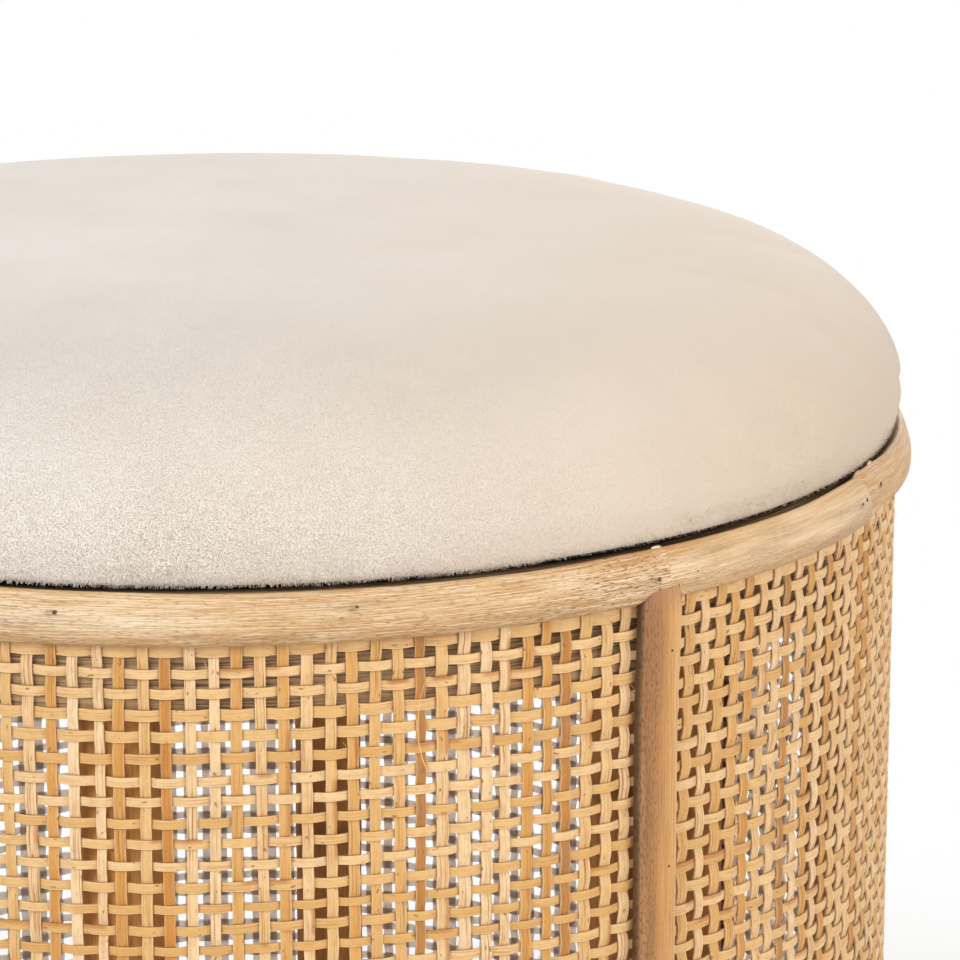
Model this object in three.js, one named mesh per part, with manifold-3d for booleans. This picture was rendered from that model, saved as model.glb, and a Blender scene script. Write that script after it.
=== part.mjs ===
// A drum-shaped cane stool with a lift-off padded seat.
// Lengths are millimetres, +Z is up and the floor is at zero.
// A bearing is an angle in degrees round the stool's upright axis. Bearing zero is the front, at -Y,
// and bearings grow towards +X.

import * as THREE from 'three';
import { mergeVertices } from 'three/addons/utils/BufferGeometryUtils.js';
import Module from 'manifold-3d';

// Drum
const rim_height = 405.7;
const cane_outer_radius = 196;
const cane_thickness = 2;
const fit_gap = 0.3;
const cane_end_setback = 1.5;

// Outer hoops, of half-round split rattan
const hoop_strip_height = 13.1;
const hoop_strip_bulge = 4.9;
const hoop_lean = 2.3;
const hoop_section_fullness = 0.75;
const hoop_section_steps = 6;
const filler_start_bearing = 39.2;
const filler_end_bearing = 65.9;
const bottom_hoop_joint_bearing = 218.2;

// Inner hoops, bent from flat strip
const inner_hoop_height = 32;
const inner_hoop_thickness = 8;
const rim_setback = 0.6;

// Posts, of round rattan: one stands behind each batten and one between each pair of battens
const post_diameter = 23;
const post_sides = 12;
const middle_post_drifts = [0, -0.5, 0, 1.7];

// Battens, of half-round split rattan
const batten_count = 4;
const first_batten_bearing = 38.2;
const batten_width = 13.8;
const batten_thickness = 4.2;
const batten_fullness = 0.6;
const batten_section_steps = 6;
const batten_cope = 2.6;

// Cane lattice
const strips_across_panel = 15;
const strips_up_panel = 17;
const gap_to_strip_height = 1.9;

// Pins
const pin_sides = 6;
const pin_length = 13;
const pin_radius = 0.9;
const pin_point_length = 2;
const pin_stand = 0.2;
const long_hoop_pin_bearings = [67.9, 96, 124, 152, 180, 208, 236, 264, 296, 325, 351.2, 372.9, 397.3];
const long_hoop_pin_rises = [1.6, 0.6, -0.8, 1.2, 0, 1.6, -0.5, 0.9, 1.4, 0.3, 2.3, 2.7, 0];
const filler_pin_inset_bearing = 1.9;
const filler_pin_rises = [0, 1];
const bottom_hoop_pin_count = 8;
const bottom_hoop_pin_turn = 12;
const batten_pin_inset = 13;

// Bottom board
const bottom_board_thickness = 6;
const bottom_board_setback = 3.5;

// Padded seat
const pad_rise = 54.3;
const pad_overhang = 0.3;
const pad_widest_rise = 13.2;
const pad_foot_rise = 1.3;
const pad_foot_inset = 4.5;
const pad_heel_inset = 8.3;
const pad_crown_turns = [15, 32, 50, 68, 80, 90];
const pad_crown_width_power = 0.33;
const pad_crown_height_power = 1.25;
const pad_side_turns = [45, 90];
const pad_side_power = 0.57;
const pad_hem_width = 36;
const pad_hem_thickness = 1.5;

// Seat board, dust cover and cleats under the pad
const seat_board_thickness = 9;
const seat_board_edge_padding = 10.3;
const dust_cover_thickness = 0.8;
const dust_cover_setback = 5.5;
const cleat_length = 44;
const cleat_depth = 16;
const cleat_height = 18;
const cleat_play = 1.5;
const cleat_count = 4;

// Points of a mesh that lie closer than this are one point
const weld_distance = 0.001;

// Sizes that follow from the ones above
const panel_turn = 360 / batten_count;
const facet_turn = panel_turn / strips_across_panel;
const facet_count = batten_count * strips_across_panel;
const facet_narrowing = Math.cos(THREE.MathUtils.degToRad(facet_turn / 2));
const top_wall_edge = rim_height - hoop_strip_height;
const inner_hoop_top = rim_height - rim_setback;
const bottom_wall_edge = rim_setback + hoop_strip_height;
const cane_inner_radius = cane_outer_radius - cane_thickness;
const inner_hoop_outer_radius = cane_inner_radius - fit_gap;
const inner_hoop_inner_radius = inner_hoop_outer_radius - inner_hoop_thickness;
const post_radius = post_diameter / 2;
const post_centre_radius = cane_inner_radius * facet_narrowing - fit_gap - post_radius;
const batten_pin_reach = cane_outer_radius + fit_gap + batten_thickness + pin_stand;
const pad_radius = cane_outer_radius + pad_overhang;
const pad_underside = inner_hoop_top + fit_gap;
const seat_board_underside = pad_underside + pad_hem_thickness + fit_gap;
const seat_board_top = seat_board_underside + seat_board_thickness;
const seat_board_radius = pad_radius - seat_board_edge_padding;
const dust_cover_top = pad_underside - fit_gap;
const dust_cover_underside = dust_cover_top - dust_cover_thickness;
const post_inner_face_radius = post_centre_radius - post_radius;
const dust_cover_radius = post_inner_face_radius - dust_cover_setback;

const wasm = await Module();
wasm.setup();

// Merges the points of a mesh that coincide and drops the triangles that this closes up
function weld(geometry) {
  const bare = geometry.clone();
  bare.deleteAttribute('normal');
  bare.deleteAttribute('uv');
  const merged = mergeVertices(bare, weld_distance);
  const kept = [];
  for (let first = 0; first < merged.index.count; first += 3) {
    const [a, b, c] = [0, 1, 2].map((step) => merged.index.getX(first + step));
    if (a !== b && b !== c && c !== a) kept.push(a, b, c);
  }
  merged.setIndex(kept);
  return merged;
}

// A closed mesh as a solid that can be joined and cut
function to_solid(geometry) {
  const welded = weld(geometry);
  return new wasm.Manifold(new wasm.Mesh({
    numProp: 3,
    vertProperties: new Float32Array(welded.attributes.position.array),
    triVerts: new Uint32Array(welded.index.array),
  }));
}

// A solid as a mesh again
function to_geometry(solid) {
  const mesh = solid.getMesh();
  const geometry = new THREE.BufferGeometry();
  geometry.setAttribute('position', new THREE.BufferAttribute(mesh.vertProperties, 3));
  geometry.setIndex(new THREE.BufferAttribute(mesh.triVerts, 1));
  return geometry;
}

function turn_to(bearing) {
  return new THREE.Matrix4().makeRotationZ(THREE.MathUtils.degToRad(bearing));
}

// Cuts a piece that is drawn at the front, where it stands on its own bearing, and brings it back
function cut_at(geometry, bearing, cutters) {
  let solid = to_solid(geometry.clone().applyMatrix4(turn_to(bearing)));
  for (const cutter of cutters) solid = solid.subtract(cutter);
  return to_geometry(solid).applyMatrix4(turn_to(-bearing));
}

function point_at(bearing, radius, height) {
  const angle = THREE.MathUtils.degToRad(bearing);
  return [radius * Math.sin(angle), -radius * Math.cos(angle), height];
}

// Every round piece of the drum has its corners on the same bearings, so that the gaps stay even
function facet_bearings(start, end) {
  const bearings = [start];
  const first = Math.floor((start - first_batten_bearing) / facet_turn) + 1;
  for (let step = first; first_batten_bearing + step * facet_turn < end; step += 1) {
    bearings.push(first_batten_bearing + step * facet_turn);
  }
  bearings.push(end);
  return bearings;
}

// A full ring: the section is a closed list of [radius, height] points
function full_ring(section) {
  const points = section.map(([radius, height]) => new THREE.Vector2(radius, height));
  const start = THREE.MathUtils.degToRad(first_batten_bearing);
  const ring = new THREE.LatheGeometry(points, facet_count, start, Math.PI * 2);
  return ring.rotateX(Math.PI / 2);
}

// A part of a ring, closed by a flat face at each end
function part_ring(section, start, end) {
  const bearings = facet_bearings(start, end);
  const flat = section.map(([radius, height]) => new THREE.Vector2(radius, height));
  const faces = THREE.ShapeUtils.triangulateShape(flat, []);
  const positions = [];
  const corner = (turn, step) => {
    const [radius, height] = section[step % section.length];
    return point_at(bearings[turn], radius, height);
  };
  for (let turn = 0; turn < bearings.length - 1; turn += 1) {
    for (let step = 0; step < section.length; step += 1) {
      const [a, b] = [corner(turn, step), corner(turn + 1, step)];
      const [c, d] = [corner(turn + 1, step + 1), corner(turn, step + 1)];
      positions.push(...a, ...b, ...c, ...a, ...c, ...d);
    }
  }
  for (const [a, b, c] of faces) {
    const last = bearings.length - 1;
    positions.push(...corner(0, a), ...corner(0, b), ...corner(0, c));
    positions.push(...corner(last, a), ...corner(last, c), ...corner(last, b));
  }
  const geometry = new THREE.BufferGeometry();
  geometry.setAttribute('position', new THREE.Float32BufferAttribute(positions, 3));
  return geometry;
}

// The cane wall leans in behind the outer hoops, which follow the rounded edges of the frame
function lean_at(height) {
  const above = Math.max(0, height - top_wall_edge);
  const below = Math.max(0, bottom_wall_edge - height);
  return (hoop_lean * (above + below)) / hoop_strip_height;
}

// Half-round section from the edge at the wall to the edge at the rim or the floor, bulging outwards
function outer_hoop_section(wall_edge, direction) {
  const back_radius = cane_outer_radius + fit_gap;
  const points = [];
  for (let step = 0; step <= hoop_section_steps; step += 1) {
    const angle = (Math.PI * step) / hoop_section_steps;
    const along = (1 - Math.cos(angle)) / 2;
    const bulge = hoop_strip_bulge * Math.sin(angle) ** hoop_section_fullness;
    const radius = back_radius - hoop_lean * along + bulge;
    points.push([radius, wall_edge + direction * hoop_strip_height * along]);
  }
  return direction > 0 ? points : points.reverse();
}

// Flat strip whose outer face follows the lean of the cane
function inner_hoop_section(low, high, bend) {
  const outer = (height) => inner_hoop_outer_radius - lean_at(height);
  return [
    [inner_hoop_inner_radius, low],
    [outer(low), low],
    [outer(bend), bend],
    [outer(high), high],
    [inner_hoop_inner_radius, high],
    [inner_hoop_inner_radius, low],
  ];
}

// The notch that an inner hoop takes out of a post, open to the outside
function hoop_notch_section(low, high) {
  const inner_radius = inner_hoop_inner_radius - fit_gap;
  return [
    [inner_radius, low - fit_gap],
    [cane_outer_radius, low - fit_gap],
    [cane_outer_radius, high + fit_gap],
    [inner_radius, high + fit_gap],
    [inner_radius, low - fit_gap],
  ];
}

// A headless pin drawn at the front, whose blunt end reaches the given radius
function pin_geometry(reach, height, grow) {
  const profile = [
    [0, -pin_length - grow],
    [pin_radius + grow, pin_point_length - pin_length - grow],
    [pin_radius + grow, grow],
    [0, grow],
  ];
  const points = profile.map(([across, along]) => new THREE.Vector2(across, along));
  const pin = new THREE.LatheGeometry(points, pin_sides);
  pin.rotateX(Math.PI);
  return pin.translate(0, -reach, height);
}

// Half-round section of a batten, flat against the cane, as a shape seen from above
function batten_shape(grow) {
  const half_width = batten_width / 2 + grow;
  const back = cane_outer_radius + fit_gap - grow;
  const front = batten_thickness + grow + grow;
  const points = [];
  for (let step = 0; step <= batten_section_steps; step += 1) {
    const angle = (Math.PI * step) / batten_section_steps;
    const side = Math.sign(Math.cos(angle)) * Math.abs(Math.cos(angle)) ** batten_fullness;
    const rise = Math.sin(angle) ** batten_fullness;
    points.push(new THREE.Vector2(-half_width * side, -back - front * rise));
  }
  return new THREE.Shape(points);
}

function batten_geometry(grow) {
  const low = bottom_wall_edge - batten_cope - grow;
  const high = top_wall_edge + batten_cope + grow;
  const batten = new THREE.ExtrudeGeometry(batten_shape(grow), { depth: high - low, bevelEnabled: false });
  return batten.translate(0, 0, low);
}

function post_geometry(grow) {
  const post = new THREE.CylinderGeometry(post_radius + grow, post_radius + grow, inner_hoop_top, post_sides);
  post.rotateX(Math.PI / 2);
  return post.translate(0, -post_centre_radius, inner_hoop_top / 2);
}

// An open lattice of wide strips: every second strip across and up is left out where they cross
function cane_panel_geometry(start, end) {
  const bearings = facet_bearings(start, end);
  const gaps_up_panel = (strips_up_panel + 1) / 2;
  const strip_height =
    (top_wall_edge - bottom_wall_edge) / (gaps_up_panel * gap_to_strip_height + strips_up_panel - gaps_up_panel);
  const heights = [rim_setback + cane_end_setback, bottom_wall_edge];
  for (let row = 1; row < strips_up_panel; row += 1) {
    heights.push(heights[row] + strip_height * (row % 2 === 1 ? gap_to_strip_height : 1));
  }
  heights.push(top_wall_edge, rim_height - cane_end_setback);
  const columns = bearings.length - 1;
  const rows = heights.length - 1;
  const inside = (column, row) => column >= 0 && column < columns && row >= 0 && row < rows;
  const is_cane = (column, row) => inside(column, row) && !(column % 2 === 1 && row % 2 === 1);
  const radius_at = (row) => cane_outer_radius - lean_at(heights[row]);
  const outer = (column, row) => point_at(bearings[column], radius_at(row), heights[row]);
  const inner = (column, row) => point_at(bearings[column], radius_at(row) - cane_thickness, heights[row]);
  const positions = [];
  const add_quad = (a, b, c, d) => positions.push(...a, ...b, ...c, ...a, ...c, ...d);
  for (let column = 0; column < columns; column += 1) {
    for (let row = 0; row < rows; row += 1) {
      if (!is_cane(column, row)) continue;
      const [right, up] = [column + 1, row + 1];
      add_quad(outer(column, row), outer(right, row), outer(right, up), outer(column, up));
      add_quad(inner(column, up), inner(right, up), inner(right, row), inner(column, row));
      if (!is_cane(column - 1, row)) {
        add_quad(inner(column, row), outer(column, row), outer(column, up), inner(column, up));
      }
      if (!is_cane(right, row)) {
        add_quad(outer(right, row), inner(right, row), inner(right, up), outer(right, up));
      }
      if (!is_cane(column, row - 1)) {
        add_quad(inner(column, row), inner(right, row), outer(right, row), outer(column, row));
      }
      if (!is_cane(column, up)) {
        add_quad(outer(column, up), outer(right, up), inner(right, up), inner(column, up));
      }
    }
  }
  const geometry = new THREE.BufferGeometry();
  geometry.setAttribute('position', new THREE.Float32BufferAttribute(positions, 3));
  return geometry;
}

// Crowned pad with drawn-in sides, whose hem turns in under the seat board
function pad_geometry() {
  const widest = rim_height + pad_widest_rise;
  const crown = rim_height + pad_rise;
  const foot = rim_height + pad_foot_rise;
  const foot_radius = pad_radius - pad_foot_inset;
  const board_gap_radius = seat_board_radius + fit_gap;
  const hem_inner_radius = board_gap_radius - pad_hem_width;
  const hem_top = pad_underside + pad_hem_thickness;
  const board_gap_top = seat_board_top + fit_gap;
  const section = [[0, crown]];
  for (const turn of pad_crown_turns) {
    const angle = THREE.MathUtils.degToRad(turn);
    const radius = pad_radius * Math.sin(angle) ** pad_crown_width_power;
    const lift = Math.max(0, Math.cos(angle)) ** pad_crown_height_power;
    section.push([radius, widest + (crown - widest) * lift]);
  }
  for (const turn of pad_side_turns) {
    const angle = THREE.MathUtils.degToRad(turn);
    const share = Math.max(0, Math.cos(angle)) ** pad_side_power;
    section.push([foot_radius + (pad_radius - foot_radius) * share, widest - (widest - foot) * Math.sin(angle)]);
  }
  section.push([pad_radius - pad_heel_inset, pad_underside]);
  section.push([hem_inner_radius, pad_underside]);
  section.push([hem_inner_radius, hem_top]);
  section.push([board_gap_radius, hem_top]);
  section.push([board_gap_radius, board_gap_top]);
  section.push([0, board_gap_top]);
  return full_ring(section.reverse());
}

function disc_geometry(radius, low, high) {
  return full_ring([[0, low], [radius, low], [radius, high], [0, high]]);
}

// Finishes
const peeled_rattan = new THREE.MeshStandardMaterial({ color: 0xe6c594, roughness: 0.6, metalness: 0 });
const brown_rattan = new THREE.MeshStandardMaterial({ color: 0xb78c5a, roughness: 0.6, metalness: 0 });
const frame_rattan = new THREE.MeshStandardMaterial({ color: 0xa8713a, roughness: 0.7, metalness: 0 });
const bent_wood = new THREE.MeshStandardMaterial({ color: 0x9c7a55, roughness: 0.8, metalness: 0 });
const woven_cane = new THREE.MeshStandardMaterial({ color: 0xe3bb7c, roughness: 0.6, metalness: 0 });
const plywood = new THREE.MeshStandardMaterial({ color: 0xcfae7e, roughness: 0.8, metalness: 0 });
const velvet = new THREE.MeshStandardMaterial({ color: 0xe6dccf, roughness: 0.95, metalness: 0 });
const dust_cloth = new THREE.MeshStandardMaterial({ color: 0x1d1b1a, roughness: 0.95, metalness: 0 });
const pin_steel = new THREE.MeshStandardMaterial({ color: 0x5a4634, roughness: 0.5, metalness: 0.6 });

const stool = new THREE.Group();
const drum = new THREE.Group();
const lid = new THREE.Group();
stool.add(drum, lid);

function add_piece(parent, name, geometry, material, bearing = 0) {
  const mesh = new THREE.Mesh(weld(geometry), material);
  mesh.name = name;
  mesh.rotation.z = THREE.MathUtils.degToRad(bearing);
  parent.add(mesh);
}

// How far out a pin's blunt end stands where it goes into a hoop off its middle line
function hoop_pin_reach(rise) {
  const along = 0.5 + rise / hoop_strip_height;
  const bulge = hoop_strip_bulge * Math.sin(Math.acos(1 - 2 * along)) ** hoop_section_fullness;
  return cane_outer_radius + fit_gap - hoop_lean * along + bulge + pin_stand;
}

// Where each pin goes: its name, bearing, height and the radius that its blunt end reaches
const top_pin_height = rim_height - hoop_strip_height / 2;
const bottom_pin_height = rim_setback + hoop_strip_height / 2;
const batten_bearings = Array.from({ length: batten_count }, (_, k) => first_batten_bearing + k * panel_turn);
const filler_pin_bearings = [
  filler_start_bearing + filler_pin_inset_bearing,
  filler_end_bearing - filler_pin_inset_bearing,
];
const pins = [];
long_hoop_pin_bearings.forEach((bearing, k) => {
  const rise = long_hoop_pin_rises[k];
  pins.push({ name: `top_hoop_pin_${k + 1}`, bearing, height: top_pin_height + rise, reach: hoop_pin_reach(rise) });
});
filler_pin_bearings.forEach((bearing, k) => {
  const rise = filler_pin_rises[k];
  pins.push({ name: `filler_pin_${k + 1}`, bearing, height: top_pin_height + rise, reach: hoop_pin_reach(rise) });
});
for (let k = 0; k < bottom_hoop_pin_count; k += 1) {
  const bearing = bottom_hoop_joint_bearing + bottom_hoop_pin_turn + (k * 360) / bottom_hoop_pin_count;
  pins.push({ name: `bottom_hoop_pin_${k + 1}`, bearing, height: bottom_pin_height, reach: hoop_pin_reach(0) });
}
batten_bearings.forEach((bearing, k) => {
  const upper = top_wall_edge - batten_pin_inset;
  const lower = bottom_wall_edge + batten_pin_inset;
  pins.push({ name: `batten_${k + 1}_upper_pin`, bearing, height: upper, reach: batten_pin_reach });
  pins.push({ name: `batten_${k + 1}_lower_pin`, bearing, height: lower, reach: batten_pin_reach });
});
const pin_holes = pins
  .map(({ bearing, height, reach }) => to_solid(pin_geometry(reach, height, fit_gap).applyMatrix4(turn_to(bearing))))
  .reduce((joined, hole) => joined.add(hole));
for (const { name, bearing, height, reach } of pins) {
  add_piece(drum, name, pin_geometry(reach, height, 0), pin_steel, bearing);
}

// Inner hoops
const inner_hoop_underside = inner_hoop_top - inner_hoop_height;
const low_section = inner_hoop_section(0, inner_hoop_height, bottom_wall_edge);
const high_section = inner_hoop_section(inner_hoop_underside, inner_hoop_top, top_wall_edge);
const low_notch = hoop_notch_section(0, inner_hoop_height);
const high_notch = hoop_notch_section(inner_hoop_underside, inner_hoop_top);
const hoop_notches = [to_solid(full_ring(low_notch)), to_solid(full_ring(high_notch))];
add_piece(drum, 'inner_bottom_hoop', cut_at(full_ring(low_section), 0, [pin_holes]), bent_wood);
add_piece(drum, 'inner_top_hoop', cut_at(full_ring(high_section), 0, [pin_holes]), bent_wood);

// Battens, and the room that each takes out of the outer hoops
const batten_rooms = batten_bearings
  .map((bearing) => to_solid(batten_geometry(fit_gap).applyMatrix4(turn_to(bearing))))
  .reduce((joined, room) => joined.add(room));
batten_bearings.forEach((bearing, k) => {
  add_piece(drum, `batten_${k + 1}`, cut_at(batten_geometry(0), bearing, [pin_holes]), brown_rattan, bearing);
});

// Outer hoops, whose ends stand one gap apart
const end_turn = THREE.MathUtils.radToDeg(fit_gap / cane_outer_radius) / 2;
const top_section = outer_hoop_section(top_wall_edge, 1);
const bottom_section = outer_hoop_section(bottom_wall_edge, -1);
const long_hoop = part_ring(top_section, filler_end_bearing + end_turn, filler_start_bearing + 360 - end_turn);
const filler = part_ring(top_section, filler_start_bearing + end_turn, filler_end_bearing - end_turn);
const joint = bottom_hoop_joint_bearing;
const bottom_hoop = part_ring(bottom_section, joint + end_turn, joint + 360 - end_turn);
add_piece(drum, 'outer_top_hoop', cut_at(long_hoop, 0, [batten_rooms, pin_holes]), peeled_rattan);
add_piece(drum, 'outer_top_hoop_filler', cut_at(filler, 0, [batten_rooms, pin_holes]), peeled_rattan);
add_piece(drum, 'outer_bottom_hoop', cut_at(bottom_hoop, 0, [batten_rooms, pin_holes]), peeled_rattan);

// Posts, notched for the inner hoops, and the room that they take out of the bottom board
const post_bearings = batten_bearings.flatMap((bearing, k) => {
  const middle = bearing + panel_turn / 2 + middle_post_drifts[k % middle_post_drifts.length];
  return [bearing, middle];
});
post_bearings.forEach((bearing, k) => {
  const post = cut_at(post_geometry(0), bearing, [...hoop_notches, pin_holes]);
  add_piece(drum, `post_${k + 1}`, post, frame_rattan, bearing);
});
const post_rooms = post_bearings
  .map((bearing) => to_solid(post_geometry(fit_gap).applyMatrix4(turn_to(bearing))))
  .reduce((joined, room) => joined.add(room));

// Cane panels, which meet under the battens
batten_bearings.forEach((bearing, k) => {
  const panel = cane_panel_geometry(bearing + end_turn, bearing + panel_turn - end_turn);
  add_piece(drum, `cane_panel_${k + 1}`, cut_at(panel, 0, [pin_holes]), woven_cane);
});

// Bottom board, which lies on the inner bottom hoop, between the posts
const board_low = inner_hoop_height + fit_gap;
const board_radius = cane_inner_radius - bottom_board_setback;
const board = disc_geometry(board_radius, board_low, board_low + bottom_board_thickness);
add_piece(drum, 'bottom_board', cut_at(board, 0, [post_rooms]), plywood);

// Lift-off seat
add_piece(lid, 'seat_pad', pad_geometry(), velvet);
add_piece(lid, 'seat_board', disc_geometry(seat_board_radius, seat_board_underside, seat_board_top), plywood);
add_piece(lid, 'seat_dust_cover', disc_geometry(dust_cover_radius, dust_cover_underside, dust_cover_top), dust_cloth);
for (let k = 0; k < cleat_count; k += 1) {
  const cleat = new THREE.BoxGeometry(cleat_length, cleat_depth, cleat_height);
  const centre_radius = post_inner_face_radius - cleat_play - cleat_depth / 2;
  const top = dust_cover_underside - fit_gap;
  cleat.translate(0, -centre_radius, top - cleat_height / 2);
  const bearing = post_bearings[(2 * k + 1) % post_bearings.length];
  add_piece(lid, `seat_cleat_${k + 1}`, cleat, bent_wood, bearing);
}

export default stool;
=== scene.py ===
# %% [markdown]
# # A round cane stool, dressed for the camera
#
# The stool is a straight drum. Eight round rattan posts stand inside two bent hoops, cane webbing is
# stretched round them, and half-round rattan covers its edges: a hoop at the top, one at the bottom
# and four upright battens. A padded seat lies loose on the rim and lifts off.
#
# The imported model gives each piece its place. This file gives each piece its real surface: every
# strand of the cane, the grain of the hoops and the nap of the velvet.

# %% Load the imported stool
import math

import bpy
import numpy as np
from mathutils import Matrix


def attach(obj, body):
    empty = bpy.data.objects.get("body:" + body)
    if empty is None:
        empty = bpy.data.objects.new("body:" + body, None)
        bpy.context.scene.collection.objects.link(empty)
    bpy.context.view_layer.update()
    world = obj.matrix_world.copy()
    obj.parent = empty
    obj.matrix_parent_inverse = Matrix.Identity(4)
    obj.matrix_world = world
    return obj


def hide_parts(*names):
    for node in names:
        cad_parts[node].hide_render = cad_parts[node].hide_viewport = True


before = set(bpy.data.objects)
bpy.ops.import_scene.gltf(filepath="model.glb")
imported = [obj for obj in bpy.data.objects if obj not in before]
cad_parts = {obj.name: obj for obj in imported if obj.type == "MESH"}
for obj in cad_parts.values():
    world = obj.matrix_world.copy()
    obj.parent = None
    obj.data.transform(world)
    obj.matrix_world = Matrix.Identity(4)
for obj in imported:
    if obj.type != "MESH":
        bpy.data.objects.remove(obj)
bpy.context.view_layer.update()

# %% [markdown]
# ## Sizes
# These are the sizes that the solids have, in millimetres. A bearing is an angle in degrees round the
# drum, from the front at -Y towards +X.

# %% Sizes in millimetres
MM = 0.001
rim_height = 405.7
top_wall_edge = 392.6
bottom_wall_edge = 13.7
hoop_height = 13.1
hoop_bulge = 4.9
hoop_lean = 2.3
hoop_back_radius = 196.3
cane_middle_radius = 195.0
inner_hoop_radii = (185.7, 193.7)
inner_hoop_height = 32.0
inner_hoop_top = 405.1
post_radius = 11.5
post_centre_radius = 181.93
batten_width = 13.8
batten_thickness = 4.2
batten_cope = 2.3
batten_bearings = [38.2, 128.2, 218.2, 308.2]
post_bearings = [38.2, 83.2, 128.2, 172.7, 218.2, 263.2, 308.2, 354.9]
print("the rim is", rim_height, "mm high, and", len(post_bearings), "posts carry it")

# %% [markdown]
# ## The camera
# A long lens from a little above the seat looks down at the near right part of the rim. Its place
# comes from the hoop, the cane's right edge and the pad's outline. A shorter lens closer by would
# frame the same part, but would make the far side of the rim too small.

# %% Camera
camera_tilt = 75.451
lens = bpy.data.cameras.new("camera")
lens.lens = 162.75
lens.sensor_width = 36
lens.clip_start = 0.05
camera = bpy.data.objects.new("camera", lens)
camera.location = (0.07502, -1.2304, 0.7037)
camera.rotation_euler = (math.radians(camera_tilt), 0, 0)
bpy.context.scene.collection.objects.link(camera)
bpy.context.scene.camera = camera
print("camera looks down by", round(90 - camera_tilt, 2), "degrees")

# %% [markdown]
# ## Small tools
# Each surface is worked out as whole arrays of points. These helpers place points round the drum,
# let a line wander a little, as things made by hand do, and put the arrays into a mesh.

# %% Places and gentle irregularity
def on_drum(radius, bearing, height):
    """Points round the drum: x is the radius times the sine of the bearing, y is minus the radius
    times its cosine, and z is the height."""
    radius, turn, height = np.broadcast_arrays(radius, np.radians(bearing), height)
    return np.stack([radius * np.sin(turn), -radius * np.cos(turn), height], -1)


def ease(share):
    """Runs from 0 to 1 with a level start and end: three times the square less twice the cube."""
    share = np.clip(share, 0, 1)
    return share * share * (3 - 2 * share)


def wander(rng, rows, steps, knots):
    """Rows of smooth drift between -1 and 1: random knots, joined by eased ramps."""
    values = rng.uniform(-1, 1, (rows, knots + 1))
    place = np.linspace(0, knots - 1e-6, steps)
    left = place.astype(int)
    share = ease(place - left)
    return values[:, left] * (1 - share) + values[:, left + 1] * share


def lean_at(height):
    """How far the wall leans in behind the outer hoops: in proportion to the height past their edge."""
    past = np.maximum(0, height - top_wall_edge) + np.maximum(0, bottom_wall_edge - height)
    return hoop_lean * past / hoop_height


# %% Meshes from arrays
def tube_faces(tubes, rings, corners, first=0):
    """Faces of closed tubes whose points are numbered tube by tube, ring by ring and corner by
    corner: a band of quads from each ring to the next, and one polygon on each end."""
    index = first + np.arange(tubes * rings * corners).reshape(tubes, rings, corners)
    ahead = np.roll(index, -1, axis=2)
    quads = np.stack([index[:, :-1], ahead[:, :-1], ahead[:, 1:], index[:, 1:]], -1).reshape(-1, 4)
    ends = np.concatenate([index[:, 0, ::-1], index[:, -1]])
    return [quads, ends]


def make_piece(name, points, face_groups, uv=None, sharp_degrees=None, **marks):
    """A mesh object from arrays: points in mm, groups of faces with equally many corners, a pair of
    lengths in metres for each point as its UV, and attributes with one number for each point."""
    points = np.asarray(points, float).reshape(-1, 3) * MM
    volume = 0
    for group in face_groups:
        a = points[group[:, 0]]
        for k in range(1, group.shape[1] - 1):
            volume += np.einsum("ij,ij->", a, np.cross(points[group[:, k]], points[group[:, k + 1]])) / 6
    if volume < 0:
        face_groups = [group[:, ::-1] for group in face_groups]
    corners = np.concatenate([group.ravel() for group in face_groups]).astype(np.int32)
    sizes = np.concatenate([np.full(len(group), group.shape[1]) for group in face_groups])
    starts = (np.cumsum(sizes) - sizes).astype(np.int32)
    mesh = bpy.data.meshes.new(name)
    mesh.vertices.add(len(points))
    mesh.loops.add(len(corners))
    mesh.polygons.add(len(starts))
    mesh.vertices.foreach_set("co", points.astype(np.float32).ravel())
    mesh.loops.foreach_set("vertex_index", corners)
    mesh.polygons.foreach_set("loop_start", starts)
    mesh.update(calc_edges=True)
    if uv is not None:
        layer = mesh.uv_layers.new(name="lay")
        layer.uv.foreach_set("vector", uv.reshape(-1, 2)[corners].astype(np.float32).ravel())
    for mark, values in marks.items():
        values = np.asarray(values, np.float32).ravel()
        mesh.attributes.new(mark, "FLOAT", "POINT").data.foreach_set("value", values)
    mesh.shade_smooth()
    if sharp_degrees:
        mesh.set_sharp_from_angle(angle=math.radians(sharp_degrees))
    piece = bpy.data.objects.new(name, mesh)
    bpy.context.scene.collection.objects.link(piece)
    return piece


def settle(piece, finish, slot, body, *nodes):
    """Gives a piece its finish, lets it ride on its body and take the place of its solids."""
    piece.data.materials.append(finish)
    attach(piece, body)
    if nodes:
        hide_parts(*nodes)
    print(piece.name, len(piece.data.polygons), "faces, in the place of", len(nodes), "solids")


# %% [markdown]
# ## Finishes
# Every finish is a node network. Colours are written as sRGB hex values, as a paint chart has them,
# and one function turns them to the linear values that light is reckoned in. Pattern sizes are real:
# a noise with a scale of 1000 on coordinates in metres has features about a millimetre wide.

# %% Tools for finishes
def linear(hex_value):
    """sRGB hex to linear: a channel up to 0.04045 is divided by 12.92, and a higher one has 0.055
    added, is divided by 1.055 and raised to the power 2.4."""
    channels = [int(hex_value[k : k + 2], 16) / 255 for k in (1, 3, 5)]
    return (*(c / 12.92 if c <= 0.04045 else ((c + 0.055) / 1.055) ** 2.4 for c in channels), 1)


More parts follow.
